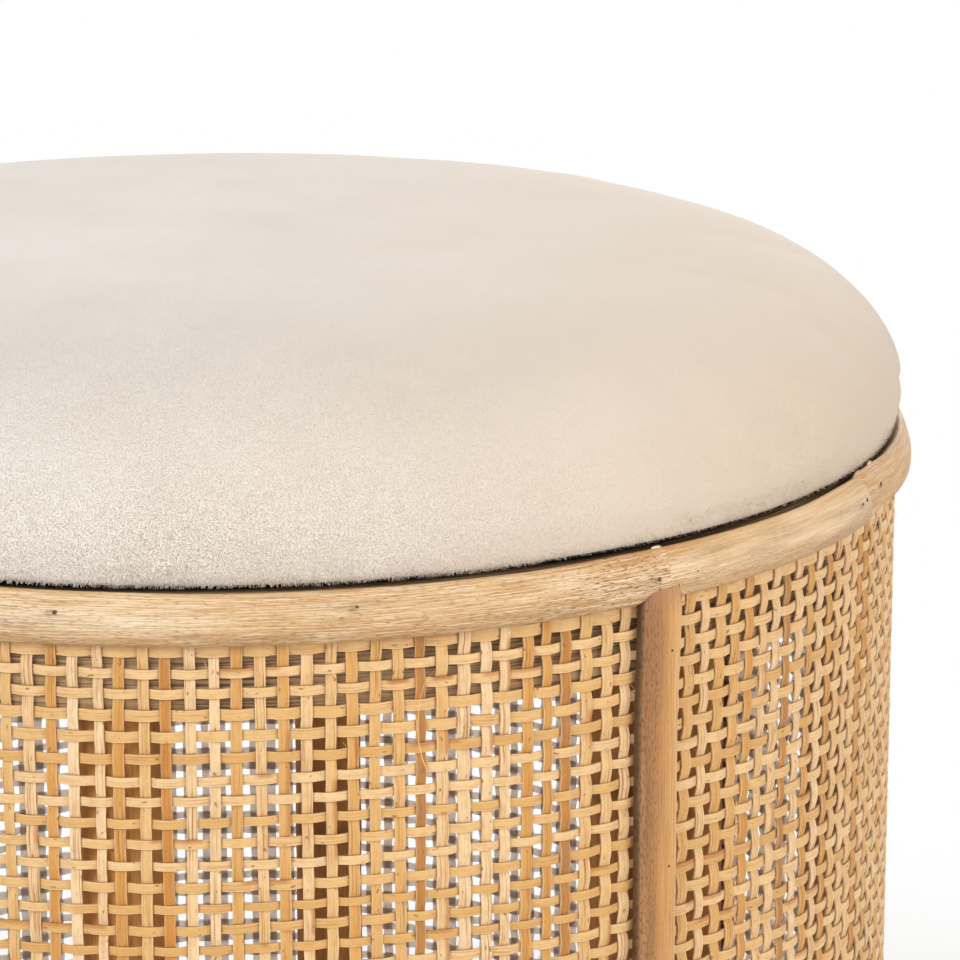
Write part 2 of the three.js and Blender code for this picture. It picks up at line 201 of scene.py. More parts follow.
def add_node(tree, kind, inputs=None, stops=(), **settings):
    """Adds a node with its settings. inputs gives each input, by name or number, a value or another
    node's output, and stops gives a colour ramp its (place, hex colour) pairs."""
    node = tree.nodes.new(kind)
    for setting, value in settings.items():
        setattr(node, setting, value)
    for socket, value in (inputs or {}).items():
        if isinstance(value, bpy.types.NodeSocket):
            tree.links.new(value, node.inputs[socket])
        else:
            node.inputs[socket].default_value = value
    for k, (place, shade) in enumerate(stops):
        ramp = node.color_ramp.elements
        stop = ramp[k] if k < 2 else ramp.new(place)
        stop.position = place
        stop.color = linear(shade)
    return node


def start_finish(name, **settings):
    """A new material with one Principled shader, whose plain numbers are set on its own sockets."""
    finish = bpy.data.materials.new(name)
    finish.use_nodes = True
    tree = finish.node_tree
    tree.nodes.clear()
    inputs = {key.replace("_", " "): value for key, value in settings.items()}
    shader = add_node(tree, "ShaderNodeBsdfPrincipled", inputs)
    add_node(tree, "ShaderNodeOutputMaterial", {0: shader.outputs[0]})
    print("finish", name)
    return finish, tree, shader


# %% [markdown]
# ### Cane strands
# Cane is the skin and outer pith of a rattan vine, split into ribbons. The strands that run round the
# drum show their skin side, which is golden and has a slight gloss. The uprights show more of the
# fibrous pith, which is matt and runs from pinkish cream to orange tan. Both have fine grooves along
# them, about 0.4 mm apart, and now and then a brown fleck where a leaf grew. A material for every
# colour of strand would work too, but one ramp, read at a number that each strand carries, gives all
# of them a colour of their own.

# %% Cane finishes
def cane_finish(name, roughness, stops, groove_depth, groove_shade, edge_highlight_hex):
    """Strand colours picked by the tone attribute, with grooves, flecks and mottling that run along
    the UV. The edge attribute is -1 and 1 at a strand's edges, which are painted paler as a
    highlight, stain marks stretches with a brown upper edge, and inside is 1 on the back, which is
    painted nearly white, partly as pale pith and partly as painted light, and lets light through.
    Where strands touch, in the last millimetre, they are browned as painted contact shade."""
    finish, tree, shader = start_finish(
        name,
        Roughness=roughness,
        IOR=1.5,
        Subsurface_Radius=(1.0, 0.88, 0.84),
        Subsurface_Scale=0.003,
    )
    lay = add_node(tree, "ShaderNodeUVMap", uv_map="lay").outputs[0]
    tone, edge, stain, inside = (
        add_node(tree, "ShaderNodeAttribute", attribute_name=mark).outputs["Fac"]
        for mark in ("tone", "edge", "stain", "inside")
    )
    # Slow changes along a strand, over 10 to 40 mm, shift its tone a little.
    slow_lay = add_node(tree, "ShaderNodeMapping", {0: lay, "Scale": (45, 160, 1)}).outputs[0]
    slow = add_node(tree, "ShaderNodeTexNoise", {"Vector": slow_lay, "Scale": 1, "Detail": 3}).outputs[0]
    shift = add_node(tree, "ShaderNodeMath", {0: slow, 1: 0.5, 2: -0.25}, operation="MULTIPLY_ADD").outputs[0]
    place = add_node(tree, "ShaderNodeMath", {0: tone, 1: shift}, operation="ADD").outputs[0]
    ground = add_node(tree, "ShaderNodeValToRGB", {0: place}, stops=stops).outputs[0]
    # Mottling in spots of one to three millimetres.
    mottle_lay = add_node(tree, "ShaderNodeMapping", {0: lay, "Scale": (330, 620, 1)}).outputs[0]
    mottle = add_node(tree, "ShaderNodeTexNoise", {"Vector": mottle_lay, "Scale": 1, "Detail": 4}).outputs[0]
    mottle_share = add_node(
        tree, "ShaderNodeMapRange", {0: mottle, 1: 0.46, 2: 0.66, 3: 0.0, 4: 0.3}
    ).outputs[0]
    mottled = add_node(
        tree, "ShaderNodeMix", {0: mottle_share, 6: ground, 7: linear("#C89450")}, data_type="RGBA"
    ).outputs[2]
    # Grooves about 0.4 mm apart, strong on some stretches and faint on others.
    groove_lay = add_node(tree, "ShaderNodeMapping", {0: lay, "Scale": (45, 2300, 1)}).outputs[0]
    groove = add_node(
        tree, "ShaderNodeTexNoise", {"Vector": groove_lay, "Scale": 1, "Detail": 3, "Roughness": 0.65}
    ).outputs[0]
    groove_range = add_node(
        tree, "ShaderNodeMapRange", {0: groove, 1: 0.5, 2: 0.68, 3: 0.0, 4: groove_shade}
    ).outputs[0]
    patch_lay = add_node(tree, "ShaderNodeMapping", {0: lay, "Scale": (28, 210, 1)}).outputs[0]
    patch = add_node(tree, "ShaderNodeTexNoise", {"Vector": patch_lay, "Scale": 1, "Detail": 1}).outputs[0]
    patch_share = add_node(tree, "ShaderNodeMapRange", {0: patch, 1: 0.4, 2: 0.6, 3: 0.3, 4: 1.2}).outputs[0]
    groove_share = add_node(
        tree, "ShaderNodeMath", {0: groove_range, 1: patch_share}, operation="MULTIPLY"
    ).outputs[0]
    dark = add_node(
        tree, "ShaderNodeMix", {0: groove_share, 6: mottled, 7: linear("#A56F3C")}, data_type="RGBA"
    ).outputs[2]
    # Both edges of each strand are painted paler: a painted highlight along the edges.
    edge_size = add_node(tree, "ShaderNodeMath", {0: edge}, operation="ABSOLUTE").outputs[0]
    edge_highlight_share = add_node(
        tree, "ShaderNodeMapRange", {0: edge_size, 1: 0.8, 2: 1.0, 3: 0.0, 4: 0.45}
    ).outputs[0]
    edge_highlighted = add_node(
        tree, "ShaderNodeMix", {0: edge_highlight_share, 6: dark, 7: linear(edge_highlight_hex)}, data_type="RGBA"
    ).outputs[2]
    # A stain browns the upper half of a strand.
    side_share = add_node(tree, "ShaderNodeMapRange", {0: edge, 1: 0.0, 2: 0.7, 3: 0.0, 4: 0.7}).outputs[0]
    stain_share = add_node(tree, "ShaderNodeMath", {0: side_share, 1: stain}, operation="MULTIPLY").outputs[0]
    stained = add_node(
        tree, "ShaderNodeMix", {0: stain_share, 6: edge_highlighted, 7: linear("#B5702F")}, data_type="RGBA"
    ).outputs[2]
    # Flecks of one to three millimetres, where a leaf grew.
    fleck_lay = add_node(tree, "ShaderNodeMapping", {0: lay, "Scale": (380, 800, 1)}).outputs[0]
    fleck = add_node(tree, "ShaderNodeTexNoise", {"Vector": fleck_lay, "Scale": 1, "Detail": 2}).outputs[0]
    fleck_share = add_node(
        tree, "ShaderNodeMapRange", {0: fleck, 1: 0.665, 2: 0.72, 3: 0.0, 4: 0.8}
    ).outputs[0]
    flecked = add_node(
        tree, "ShaderNodeMix", {0: fleck_share, 6: stained, 7: linear("#8F6038")}, data_type="RGBA"
    ).outputs[2]
    # The back is painted nearly white: partly the pale pith, partly painted light that brightens the
    # inside of the drum. Only there does light soak through the strand.
    back = add_node(tree, "ShaderNodeMapRange", {0: inside, 1: 0.8, 2: 0.95}).outputs[0]
    back_pith_and_light = add_node(
        tree, "ShaderNodeMix", {0: back, 6: flecked, 7: linear("#FAE8DC")}, data_type="RGBA"
    ).outputs[2]
    through = add_node(tree, "ShaderNodeMapRange", {0: back, 3: 0.12, 4: 1.0}).outputs[0]
    tree.links.new(through, shader.inputs["Subsurface Weight"])
    # Open air is 1 on a free face and falls where another strand is within a millimetre.
    open_air = add_node(tree, "ShaderNodeAmbientOcclusion", {"Distance": 0.0011}, samples=6).outputs["AO"]
    contact_shade = add_node(tree, "ShaderNodeMapRange", {0: open_air, 1: 0.7, 2: 0.32, 3: 0.0, 4: 0.85}).outputs[0]
    # Where another strand is close the colour is browned: painted contact shade.
    browned = add_node(
        tree, "ShaderNodeMix", {0: contact_shade, 6: back_pith_and_light, 7: linear("#96602C")}, data_type="RGBA"
    ).outputs[2]
    tree.links.new(browned, shader.inputs["Base Color"])
    bump = add_node(
        tree, "ShaderNodeBump", {"Strength": 0.9, "Distance": groove_depth, "Height": groove}, invert=True
    ).outputs[0]
    tree.links.new(bump, shader.inputs["Normal"])
    return finish


upright_finish = cane_finish(
    "cane_pith_side",
    0.6,
    [
        (0.0, "#F6D6AC"), (0.28, "#ECC48E"), (0.5, "#E3B472"),
        (0.7, "#D8A056"), (0.86, "#CF8A38"), (1.0, "#B27C42"),
    ],
    0.00030,
    1.0,
    "#FFE6BE",
)
cross_finish = cane_finish(
    "cane_skin_side",
    0.38,
    [(0.0, "#F0CC9A"), (0.35, "#E8BF84"), (0.65, "#DFAF6C"), (1.0, "#CF9A54")],
    0.00014,
    0.5,
    "#F8DCA8",
)

# %% [markdown]
# ### Peeled rattan
# The outer hoops are rattan poles with the skin peeled off, split in half and sanded. That leaves
# long pale and ochre fibres, short dark pores cut along their length, and a grey-brown smudge here
# and there. The filler length is smoother and lighter than the long one. A picture of wood would
# stretch where the section turns under, so the fibres are noise, drawn out along the piece's own
# lengths, and numbers on its points say where they are rough, stained or pale. Some of the colour
# is painted light: the top hoop is painted darker towards its lower edge as shade, a band along the
# middle is painted pale as a highlight, and the start of the long hoop is painted partly in shade.

# %% Peeled rattan finish
peeled_finish, tree, shader = start_finish(
    "peeled_rattan_sanded", Roughness=0.5, IOR=1.5, Coat_Weight=0.08, Coat_Roughness=0.35
)
lay = add_node(tree, "ShaderNodeUVMap", uv_map="lay").outputs[0]
girth, coarse, scar, stain, pale = (
    add_node(tree, "ShaderNodeAttribute", attribute_name=mark).outputs["Fac"]
    for mark in ("girth", "coarse", "scar", "stain", "pale")
)
cloud_lay = add_node(tree, "ShaderNodeMapping", {0: lay, "Scale": (22, 150, 1)}).outputs[0]
cloud = add_node(tree, "ShaderNodeTexNoise", {"Vector": cloud_lay, "Scale": 1, "Detail": 4}).outputs[0]
drift = add_node(tree, "ShaderNodeMath", {0: cloud, 1: 1.5, 2: -0.75}, operation="MULTIPLY_ADD").outputs[0]
level = add_node(tree, "ShaderNodeMath", {0: girth, 1: drift}, operation="ADD").outputs[0]
# The ground runs from tan at the edge against the cane to cream towards the outer edge. On the top hoop that
# edge is its lower one, and the darker tan there is partly the rattan's colour and partly painted shade.
ground = add_node(
    tree,
    "ShaderNodeValToRGB",
    {0: level},
    stops=[(0.0, "#B58E61"), (0.22, "#C8A274"), (0.5, "#D9B786"), (0.8, "#E2C297"), (1.0, "#DEBD8F")],
).outputs[0]
# On the hoops this is a painted highlight: a pale band along the middle of the round face. On the splinters it
# is their pale wood.
ground = add_node(
    tree, "ShaderNodeMix", {0: pale, 6: ground, 7: linear("#F4E3C6")}, data_type="RGBA"
).outputs[2]
# Bands 1 to 2 mm wide, ochre where less of the outer layer was peeled away.
band_lay = add_node(tree, "ShaderNodeMapping", {0: lay, "Scale": (28, 560, 1)}).outputs[0]
band = add_node(tree, "ShaderNodeTexNoise", {"Vector": band_lay, "Scale": 1, "Detail": 3}).outputs[0]
band_share = add_node(tree, "ShaderNodeMapRange", {0: band, 1: 0.48, 2: 0.64, 3: 0.0, 4: 0.5}).outputs[0]
ground = add_node(
    tree, "ShaderNodeMix", {0: band_share, 6: ground, 7: linear("#C4955A")}, data_type="RGBA"
).outputs[2]
# Fibres: streaks a quarter of a millimetre wide and one or two centimetres long, ochre and pale.
fibre_lay = add_node(tree, "ShaderNodeMapping", {0: lay, "Scale": (62, 3900, 1)}).outputs[0]
fibre = add_node(
    tree, "ShaderNodeTexNoise", {"Vector": fibre_lay, "Scale": 1, "Detail": 4, "Roughness": 0.72}
).outputs[0]
fibre_range = add_node(tree, "ShaderNodeMapRange", {0: fibre, 1: 0.47, 2: 0.6, 3: 0.0, 4: 1.0}).outputs[0]
fibre_share = add_node(tree, "ShaderNodeMath", {0: fibre_range, 1: coarse}, operation="MULTIPLY").outputs[0]
streaked = add_node(
    tree, "ShaderNodeMix", {0: fibre_share, 6: ground, 7: linear("#B98B58")}, data_type="RGBA"
).outputs[2]
pale_range = add_node(tree, "ShaderNodeMapRange", {0: fibre, 1: 0.49, 2: 0.39, 3: 0.0, 4: 1.0}).outputs[0]
pale_share = add_node(tree, "ShaderNodeMath", {0: pale_range, 1: coarse}, operation="MULTIPLY").outputs[0]
paled = add_node(
    tree, "ShaderNodeMix", {0: pale_share, 6: streaked, 7: linear("#F6E0C6")}, data_type="RGBA"
).outputs[2]
# Pores: dark dashes, a quarter of a millimetre wide and two millimetres long, mostly in rough zones.
pore_lay = add_node(tree, "ShaderNodeMapping", {0: lay, "Scale": (420, 3400, 1)}).outputs[0]
pore = add_node(tree, "ShaderNodeTexNoise", {"Vector": pore_lay, "Scale": 1, "Detail": 2}).outputs[0]
pore_range = add_node(tree, "ShaderNodeMapRange", {0: pore, 1: 0.57, 2: 0.67, 3: 0.0, 4: 0.8}).outputs[0]
rough = add_node(tree, "ShaderNodeMath", {0: coarse, 1: 2.0}, operation="POWER").outputs[0]
pore_share = add_node(tree, "ShaderNodeMath", {0: pore_range, 1: rough}, operation="MULTIPLY").outputs[0]
low = add_node(tree, "ShaderNodeMapRange", {0: level, 1: 0.5, 2: 0.1, 3: 0.0, 4: 0.85}).outputs[0]
low_range = add_node(tree, "ShaderNodeMapRange", {0: pore, 1: 0.5, 2: 0.62}).outputs[0]
low_share = add_node(tree, "ShaderNodeMath", {0: low_range, 1: low}, operation="MULTIPLY").outputs[0]
pored = add_node(
    tree, "ShaderNodeMix", {0: pore_share, 6: paled, 7: linear("#8A6340")}, data_type="RGBA"
).outputs[2]
pored = add_node(
    tree, "ShaderNodeMix", {0: low_share, 6: pored, 7: linear("#9C7F5E")}, data_type="RGBA"
).outputs[2]
# Scars: brown patches broken up into specks under a millimetre wide.
smudge_lay = add_node(tree, "ShaderNodeMapping", {0: lay, "Scale": (420, 1500, 1)}).outputs[0]
smudge = add_node(tree, "ShaderNodeTexNoise", {"Vector": smudge_lay, "Scale": 1, "Detail": 4}).outputs[0]
smudge_range = add_node(tree, "ShaderNodeMapRange", {0: smudge, 1: 0.38, 2: 0.56, 3: 0.35, 4: 1.0}).outputs[0]
scar_share = add_node(tree, "ShaderNodeMath", {0: smudge_range, 1: scar}, operation="MULTIPLY").outputs[0]
scarred = add_node(
    tree, "ShaderNodeMix", {0: scar_share, 6: pored, 7: linear("#6A4C33")}, data_type="RGBA"
).outputs[2]
# Stains: ochre patches, broken up into streaks 1.4 mm wide, where the skin was left on.
stain_lay = add_node(tree, "ShaderNodeMapping", {0: lay, "Scale": (60, 700, 1)}).outputs[0]
stain_noise = add_node(tree, "ShaderNodeTexNoise", {"Vector": stain_lay, "Scale": 1, "Detail": 3}).outputs[0]
stain_range = add_node(
    tree, "ShaderNodeMapRange", {0: stain_noise, 1: 0.38, 2: 0.6, 3: 0.1, 4: 0.85}
).outputs[0]
stain_share = add_node(tree, "ShaderNodeMath", {0: stain_range, 1: stain}, operation="MULTIPLY").outputs[0]
stained = add_node(
    tree, "ShaderNodeMix", {0: stain_share, 6: scarred, 7: linear("#C48E50")}, data_type="RGBA"
).outputs[2]
tree.links.new(stained, shader.inputs["Base Color"])
relief = add_node(
    tree, "ShaderNodeMath", {0: pore_share, 1: 1.4, 2: fibre}, operation="MULTIPLY_ADD"
).outputs[0]
bump = add_node(
    tree, "ShaderNodeBump", {"Strength": 0.7, "Distance": 0.00016, "Height": relief}, invert=True
).outputs[0]
tree.links.new(bump, shader.inputs["Normal"])

# %% [markdown]
# ### Brown rattan
# The battens are split rattan with part of the darker outer layer left on: a speckled brown band
# along one side, and smooth tan wood with fine upright fibres on the other. The band could be painted
# on, but a ramp across the width, swayed by noise, follows each batten by itself.

# %% Brown rattan finish
brown_finish, tree, shader = start_finish("brown_rattan_split", Roughness=0.5, IOR=1.5)
lay = add_node(tree, "ShaderNodeUVMap", uv_map="lay").outputs[0]
across = add_node(tree, "ShaderNodeAttribute", attribute_name="across").outputs["Fac"]
raw_end = add_node(tree, "ShaderNodeAttribute", attribute_name="raw_end").outputs["Fac"]
sway_lay = add_node(tree, "ShaderNodeMapping", {0: lay, "Scale": (24, 130, 1)}).outputs[0]
sway = add_node(tree, "ShaderNodeTexNoise", {"Vector": sway_lay, "Scale": 1, "Detail": 4}).outputs[0]
sway_shift = add_node(
    tree, "ShaderNodeMath", {0: sway, 1: 0.55, 2: -0.275}, operation="MULTIPLY_ADD"
).outputs[0]
edge = add_node(tree, "ShaderNodeMath", {0: across, 1: sway_shift}, operation="ADD").outputs[0]
ground = add_node(
    tree,
    "ShaderNodeValToRGB",
    {0: edge},
    stops=[
        (0.0, "#AE8052"), (0.1, "#A07044"), (0.26, "#B07E48"), (0.42, "#C08A4E"),
        (0.7, "#DAA866"), (0.93, "#E8BA7E"), (1.0, "#F0C68E"),
    ],
).outputs[0]
# Upright fibres, half a millimetre wide and three centimetres long.
fibre_lay = add_node(tree, "ShaderNodeMapping", {0: lay, "Scale": (34, 1900, 1)}).outputs[0]
fibre = add_node(
    tree, "ShaderNodeTexNoise", {"Vector": fibre_lay, "Scale": 1, "Detail": 3, "Roughness": 0.6}
).outputs[0]
fibre_share = add_node(tree, "ShaderNodeMapRange", {0: fibre, 1: 0.46, 2: 0.66, 3: 0.0, 4: 0.6}).outputs[0]
streaked = add_node(
    tree, "ShaderNodeMix", {0: fibre_share, 6: ground, 7: linear("#8C6240")}, data_type="RGBA"
).outputs[2]
# Dark specks, 1.6 mm long and 0.4 mm wide, most of them where the outer layer was left on.
speck_lay = add_node(tree, "ShaderNodeMapping", {0: lay, "Scale": (620, 2300, 1)}).outputs[0]
speck = add_node(tree, "ShaderNodeTexNoise", {"Vector": speck_lay, "Scale": 1, "Detail": 2}).outputs[0]
speck_range = add_node(tree, "ShaderNodeMapRange", {0: speck, 1: 0.5, 2: 0.64, 3: 0.0, 4: 0.8}).outputs[0]
bark = add_node(tree, "ShaderNodeMapRange", {0: edge, 1: 0.22, 2: 0.46, 3: 1.0, 4: 0.2}).outputs[0]
speck_share = add_node(tree, "ShaderNodeMath", {0: speck_range, 1: bark}, operation="MULTIPLY").outputs[0]
speckled = add_node(
    tree, "ShaderNodeMix", {0: speck_share, 6: streaked, 7: linear("#6E4B34")}, data_type="RGBA"
).outputs[2]
end_share = add_node(tree, "ShaderNodeMath", {0: raw_end, 1: sway}, operation="MULTIPLY").outputs[0]
ended = add_node(
    tree, "ShaderNodeMix", {0: end_share, 6: speckled, 7: linear("#A9765C")}, data_type="RGBA"
).outputs[2]
# A dark line where the batten meets the cane: painted shade in the crevice.
crevice_shade = add_node(tree, "ShaderNodeMapRange", {0: across, 1: 0.035, 2: 0.0, 3: 0.0, 4: 0.9}).outputs[0]
crevice_shaded = add_node(
    tree, "ShaderNodeMix", {0: crevice_shade, 6: ended, 7: linear("#3A291B")}, data_type="RGBA"
).outputs[2]
tree.links.new(crevice_shaded, shader.inputs["Base Color"])
relief = add_node(
    tree, "ShaderNodeMath", {0: speck_share, 1: -0.6, 2: fibre}, operation="MULTIPLY_ADD"
).outputs[0]
bump = add_node(tree, "ShaderNodeBump", {"Strength": 0.7, "Distance": 0.0002, "Height": relief}).outputs[0]
tree.links.new(bump, shader.inputs["Normal"])

# %% [markdown]
# ### Rattan poles
# The posts are whole rattan poles, golden brown and matt, with long fibres and a darker ring at each
# node, where a leaf sheath was cut away. They are seen through small holes, so drawn-out noise and a
# number that is high at the nodes are enough.

# %% Rattan pole finish
pole_finish, tree, shader = start_finish("rattan_pole_matt", Roughness=0.6, IOR=1.5)
lay = add_node(tree, "ShaderNodeUVMap", uv_map="lay").outputs[0]
knuckle = add_node(tree, "ShaderNodeAttribute", attribute_name="knuckle").outputs["Fac"]
cloud_lay = add_node(tree, "ShaderNodeMapping", {0: lay, "Scale": (16, 60, 1)}).outputs[0]
cloud = add_node(tree, "ShaderNodeTexNoise", {"Vector": cloud_lay, "Scale": 1, "Detail": 4}).outputs[0]
ground = add_node(
    tree,
    "ShaderNodeValToRGB",
    {0: cloud},
    stops=[(0.25, "#BE8044"), (0.5, "#D49A56"), (0.75, "#E2AE6C")],
).outputs[0]
fibre_lay = add_node(tree, "ShaderNodeMapping", {0: lay, "Scale": (26, 1300, 1)}).outputs[0]
fibre = add_node(tree, "ShaderNodeTexNoise", {"Vector": fibre_lay, "Scale": 1, "Detail": 3}).outputs[0]
fibre_share = add_node(tree, "ShaderNodeMapRange", {0: fibre, 1: 0.48, 2: 0.72, 3: 0.0, 4: 0.55}).outputs[0]
streaked = add_node(
    tree, "ShaderNodeMix", {0: fibre_share, 6: ground, 7: linear("#8E5A2E")}, data_type="RGBA"
).outputs[2]
ringed = add_node(
    tree, "ShaderNodeMix", {0: knuckle, 6: streaked, 7: linear("#5F3D22")}, data_type="RGBA"
).outputs[2]
tree.links.new(ringed, shader.inputs["Base Color"])
bump = add_node(tree, "ShaderNodeBump", {"Strength": 0.6, "Distance": 0.0002, "Height": fibre}).outputs[0]
tree.links.new(bump, shader.inputs["Normal"])

# %% [markdown]
# ### Raw bent wood and plywood
# The inner hoops are sawn strips, bent and never finished: brown grey, with dark grain lines half a
# millimetre to a millimetre apart. The seat cleats are cut from the same stock. The two boards are
# plywood: a quiet veneer with long soft grain, and the plies as stripes on the edge. Sides and faces
# could have two materials, but a test of which way the surface looks picks between them in one.

# %% Raw wood finish
def raw_wood_finish(name, stops, grain_hex):
    """Sawn wood whose dark grain lines run along the first of its UV lengths."""
    finish, tree, shader = start_finish(name, Roughness=0.72, IOR=1.5)
    lay = add_node(tree, "ShaderNodeUVMap", uv_map="lay").outputs[0]
    cloud_lay = add_node(tree, "ShaderNodeMapping", {0: lay, "Scale": (9, 70, 1)}).outputs[0]
    cloud = add_node(tree, "ShaderNodeTexNoise", {"Vector": cloud_lay, "Scale": 1, "Detail": 3}).outputs[0]
    ground = add_node(tree, "ShaderNodeValToRGB", {0: cloud}, stops=stops).outputs[0]
    grain_lay = add_node(tree, "ShaderNodeMapping", {0: lay, "Scale": (22, 1250, 1)}).outputs[0]
    grain = add_node(
        tree, "ShaderNodeTexNoise", {"Vector": grain_lay, "Scale": 1, "Detail": 3, "Roughness": 0.65}
    ).outputs[0]
    grain_share = add_node(tree, "ShaderNodeMapRange", {0: grain, 1: 0.48, 2: 0.6, 3: 0.0, 4: 0.9}).outputs[0]
    lined = add_node(
        tree, "ShaderNodeMix", {0: grain_share, 6: ground, 7: linear(grain_hex)}, data_type="RGBA"
    ).outputs[2]
    tree.links.new(lined, shader.inputs["Base Color"])
    bump = add_node(
        tree, "ShaderNodeBump", {"Strength": 0.6, "Distance": 0.0002, "Height": grain}, invert=True
    ).outputs[0]
    tree.links.new(bump, shader.inputs["Normal"])
    return finish


bent_finish = raw_wood_finish(
    "bent_strip_raw", [(0.3, "#AD8A62"), (0.5, "#C29F76"), (0.7, "#D0B088")], "#5F4833"
)
cleat_finish = raw_wood_finish(
    "cleat_block_raw", [(0.3, "#C5A378"), (0.5, "#D2B287"), (0.7, "#DCC09A")], "#9A7850"
)

# %% Plywood finish
plywood_finish, tree, shader = start_finish("plywood_raw", Roughness=0.68, IOR=1.5)
place = add_node(tree, "ShaderNodeTexCoord").outputs["Object"]
veneer_place = add_node(tree, "ShaderNodeMapping", {0: place, "Scale": (5, 70, 5)}).outputs[0]
veneer = add_node(
    tree, "ShaderNodeTexNoise", {"Vector": veneer_place, "Scale": 1, "Detail": 5, "Distortion": 0.6}
).outputs[0]
face = add_node(
    tree, "ShaderNodeValToRGB", {0: veneer}, stops=[(0.3, "#C49C6C"), (0.5, "#D6B383"), (0.7, "#E2C69B")]
).outputs[0]
pore_place = add_node(tree, "ShaderNodeMapping", {0: place, "Scale": (120, 1500, 1500)}).outputs[0]
pore = add_node(tree, "ShaderNodeTexNoise", {"Vector": pore_place, "Scale": 1, "Detail": 2}).outputs[0]
pore_share = add_node(tree, "ShaderNodeMapRange", {0: pore, 1: 0.6, 2: 0.72, 3: 0.0, 4: 0.5}).outputs[0]
pored = add_node(
    tree, "ShaderNodeMix", {0: pore_share, 6: face, 7: linear("#9A7448")}, data_type="RGBA"
).outputs[2]
# The plies are about 1.5 mm thick, so a pair of light and dark ones repeats every 3 mm.
height = add_node(tree, "ShaderNodeSeparateXYZ", {0: place}).outputs[2]
ply_turn = add_node(
    tree, "ShaderNodeMath", {0: height, 1: 2 * math.pi / 0.003}, operation="MULTIPLY"
).outputs[0]
ply_wave = add_node(tree, "ShaderNodeMath", {0: ply_turn}, operation="SINE").outputs[0]
ply_share = add_node(tree, "ShaderNodeMapRange", {0: ply_wave, 1: -0.3, 2: 0.3, 3: 0.0, 4: 1.0}).outputs[0]
plies = add_node(
    tree, "ShaderNodeMix", {0: ply_share, 6: linear("#B98D5C"), 7: linear("#DDBE90")}, data_type="RGBA"
).outputs[2]
normal = add_node(tree, "ShaderNodeNewGeometry").outputs["True Normal"]
upward = add_node(tree, "ShaderNodeSeparateXYZ", {0: normal}).outputs[2]
flat = add_node(tree, "ShaderNodeMath", {0: upward}, operation="ABSOLUTE").outputs[0]
on_edge = add_node(tree, "ShaderNodeMapRange", {0: flat, 1: 0.5, 2: 0.6, 3: 1.0, 4: 0.0}).outputs[0]
sided = add_node(tree, "ShaderNodeMix", {0: on_edge, 6: pored, 7: plies}, data_type="RGBA").outputs[2]
tree.links.new(sided, shader.inputs["Base Color"])
bump = add_node(
    tree, "ShaderNodeBump", {"Strength": 0.4, "Distance": 0.0001, "Height": pore}, invert=True
).outputs[0]
tree.links.new(bump, shader.inputs["Normal"])

# %% [markdown]
# ### Velvet
# The seat cover is a short-nap velvet. Its pile stands about a millimetre high and lies this way and
# that where hands have brushed it, which clouds the colour. Along the front edge, where the pile is
# seen from its side, it looks grainy. Sheen gives the pale rim that pile has at a low angle. Real hair
# would need millions of strands, so the pile is fine noise in the colour and in the bump. In the
# colour it is painted shade between tufts and a painted highlight on their tips, and the right side
# is painted darker as shade.

# %% Velvet finish
velvet_finish, tree, shader = start_finish(
    "velvet_short_nap",
    Roughness=0.9,
    IOR=1.45,
    Specular_IOR_Level=0.2,
    Sheen_Weight=0.35,
    Sheen_Roughness=0.5,
    Sheen_Tint=(1, 1, 1, 1),
)
place = add_node(tree, "ShaderNodeTexCoord").outputs["Object"]
cloud = add_node(
    tree, "ShaderNodeTexNoise", {"Vector": place, "Scale": 17, "Detail": 5, "Roughness": 0.6}
).outputs[0]
ground = add_node(
    tree, "ShaderNodeValToRGB", {0: cloud}, stops=[(0.3, "#E5DCD3"), (0.5, "#EAE3DB"), (0.7, "#EEE9E3")]
).outputs[0]
height = add_node(tree, "ShaderNodeSeparateXYZ", {0: place}).outputs[2]
# The painted grain of the pile is strongest low on the sides and towards the front, and weaker on the right.
low = add_node(tree, "ShaderNodeMapRange", {0: height, 1: 0.452, 2: 0.415, 3: 0.2, 4: 1.0}).outputs[0]
sides = add_node(tree, "ShaderNodeSeparateXYZ", {0: place})
front = add_node(
    tree, "ShaderNodeMapRange", {0: sides.outputs[1], 1: 0.0, 2: -0.15, 3: 0.06, 4: 0.5}
).outputs[0]
standing = add_node(tree, "ShaderNodeMath", {0: low, 1: front}, operation="MAXIMUM").outputs[0]
grain_weaker_right = add_node(
    tree, "ShaderNodeMapRange", {0: sides.outputs[0], 1: 0.0, 2: 0.11, 3: 1.0, 4: 0.3}
).outputs[0]
nap = add_node(tree, "ShaderNodeMath", {0: standing, 1: grain_weaker_right}, operation="MULTIPLY").outputs[0]
# Tufts of pile a third of a millimetre wide, with painted shade between them and a painted highlight on their
# tips.
pile = add_node(
    tree, "ShaderNodeTexNoise", {"Vector": place, "Scale": 3000, "Detail": 2, "Roughness": 0.7}
).outputs[0]
pile_range = add_node(tree, "ShaderNodeMapRange", {0: pile, 1: 0.5, 2: 0.66, 3: 0.0, 4: 0.76}).outputs[0]
pile_shade_share = add_node(tree, "ShaderNodeMath", {0: pile_range, 1: nap}, operation="MULTIPLY").outputs[0]
lit_range = add_node(tree, "ShaderNodeMapRange", {0: pile, 1: 0.5, 2: 0.36, 3: 0.0, 4: 0.45}).outputs[0]
lit_share = add_node(tree, "ShaderNodeMath", {0: lit_range, 1: nap}, operation="MULTIPLY").outputs[0]
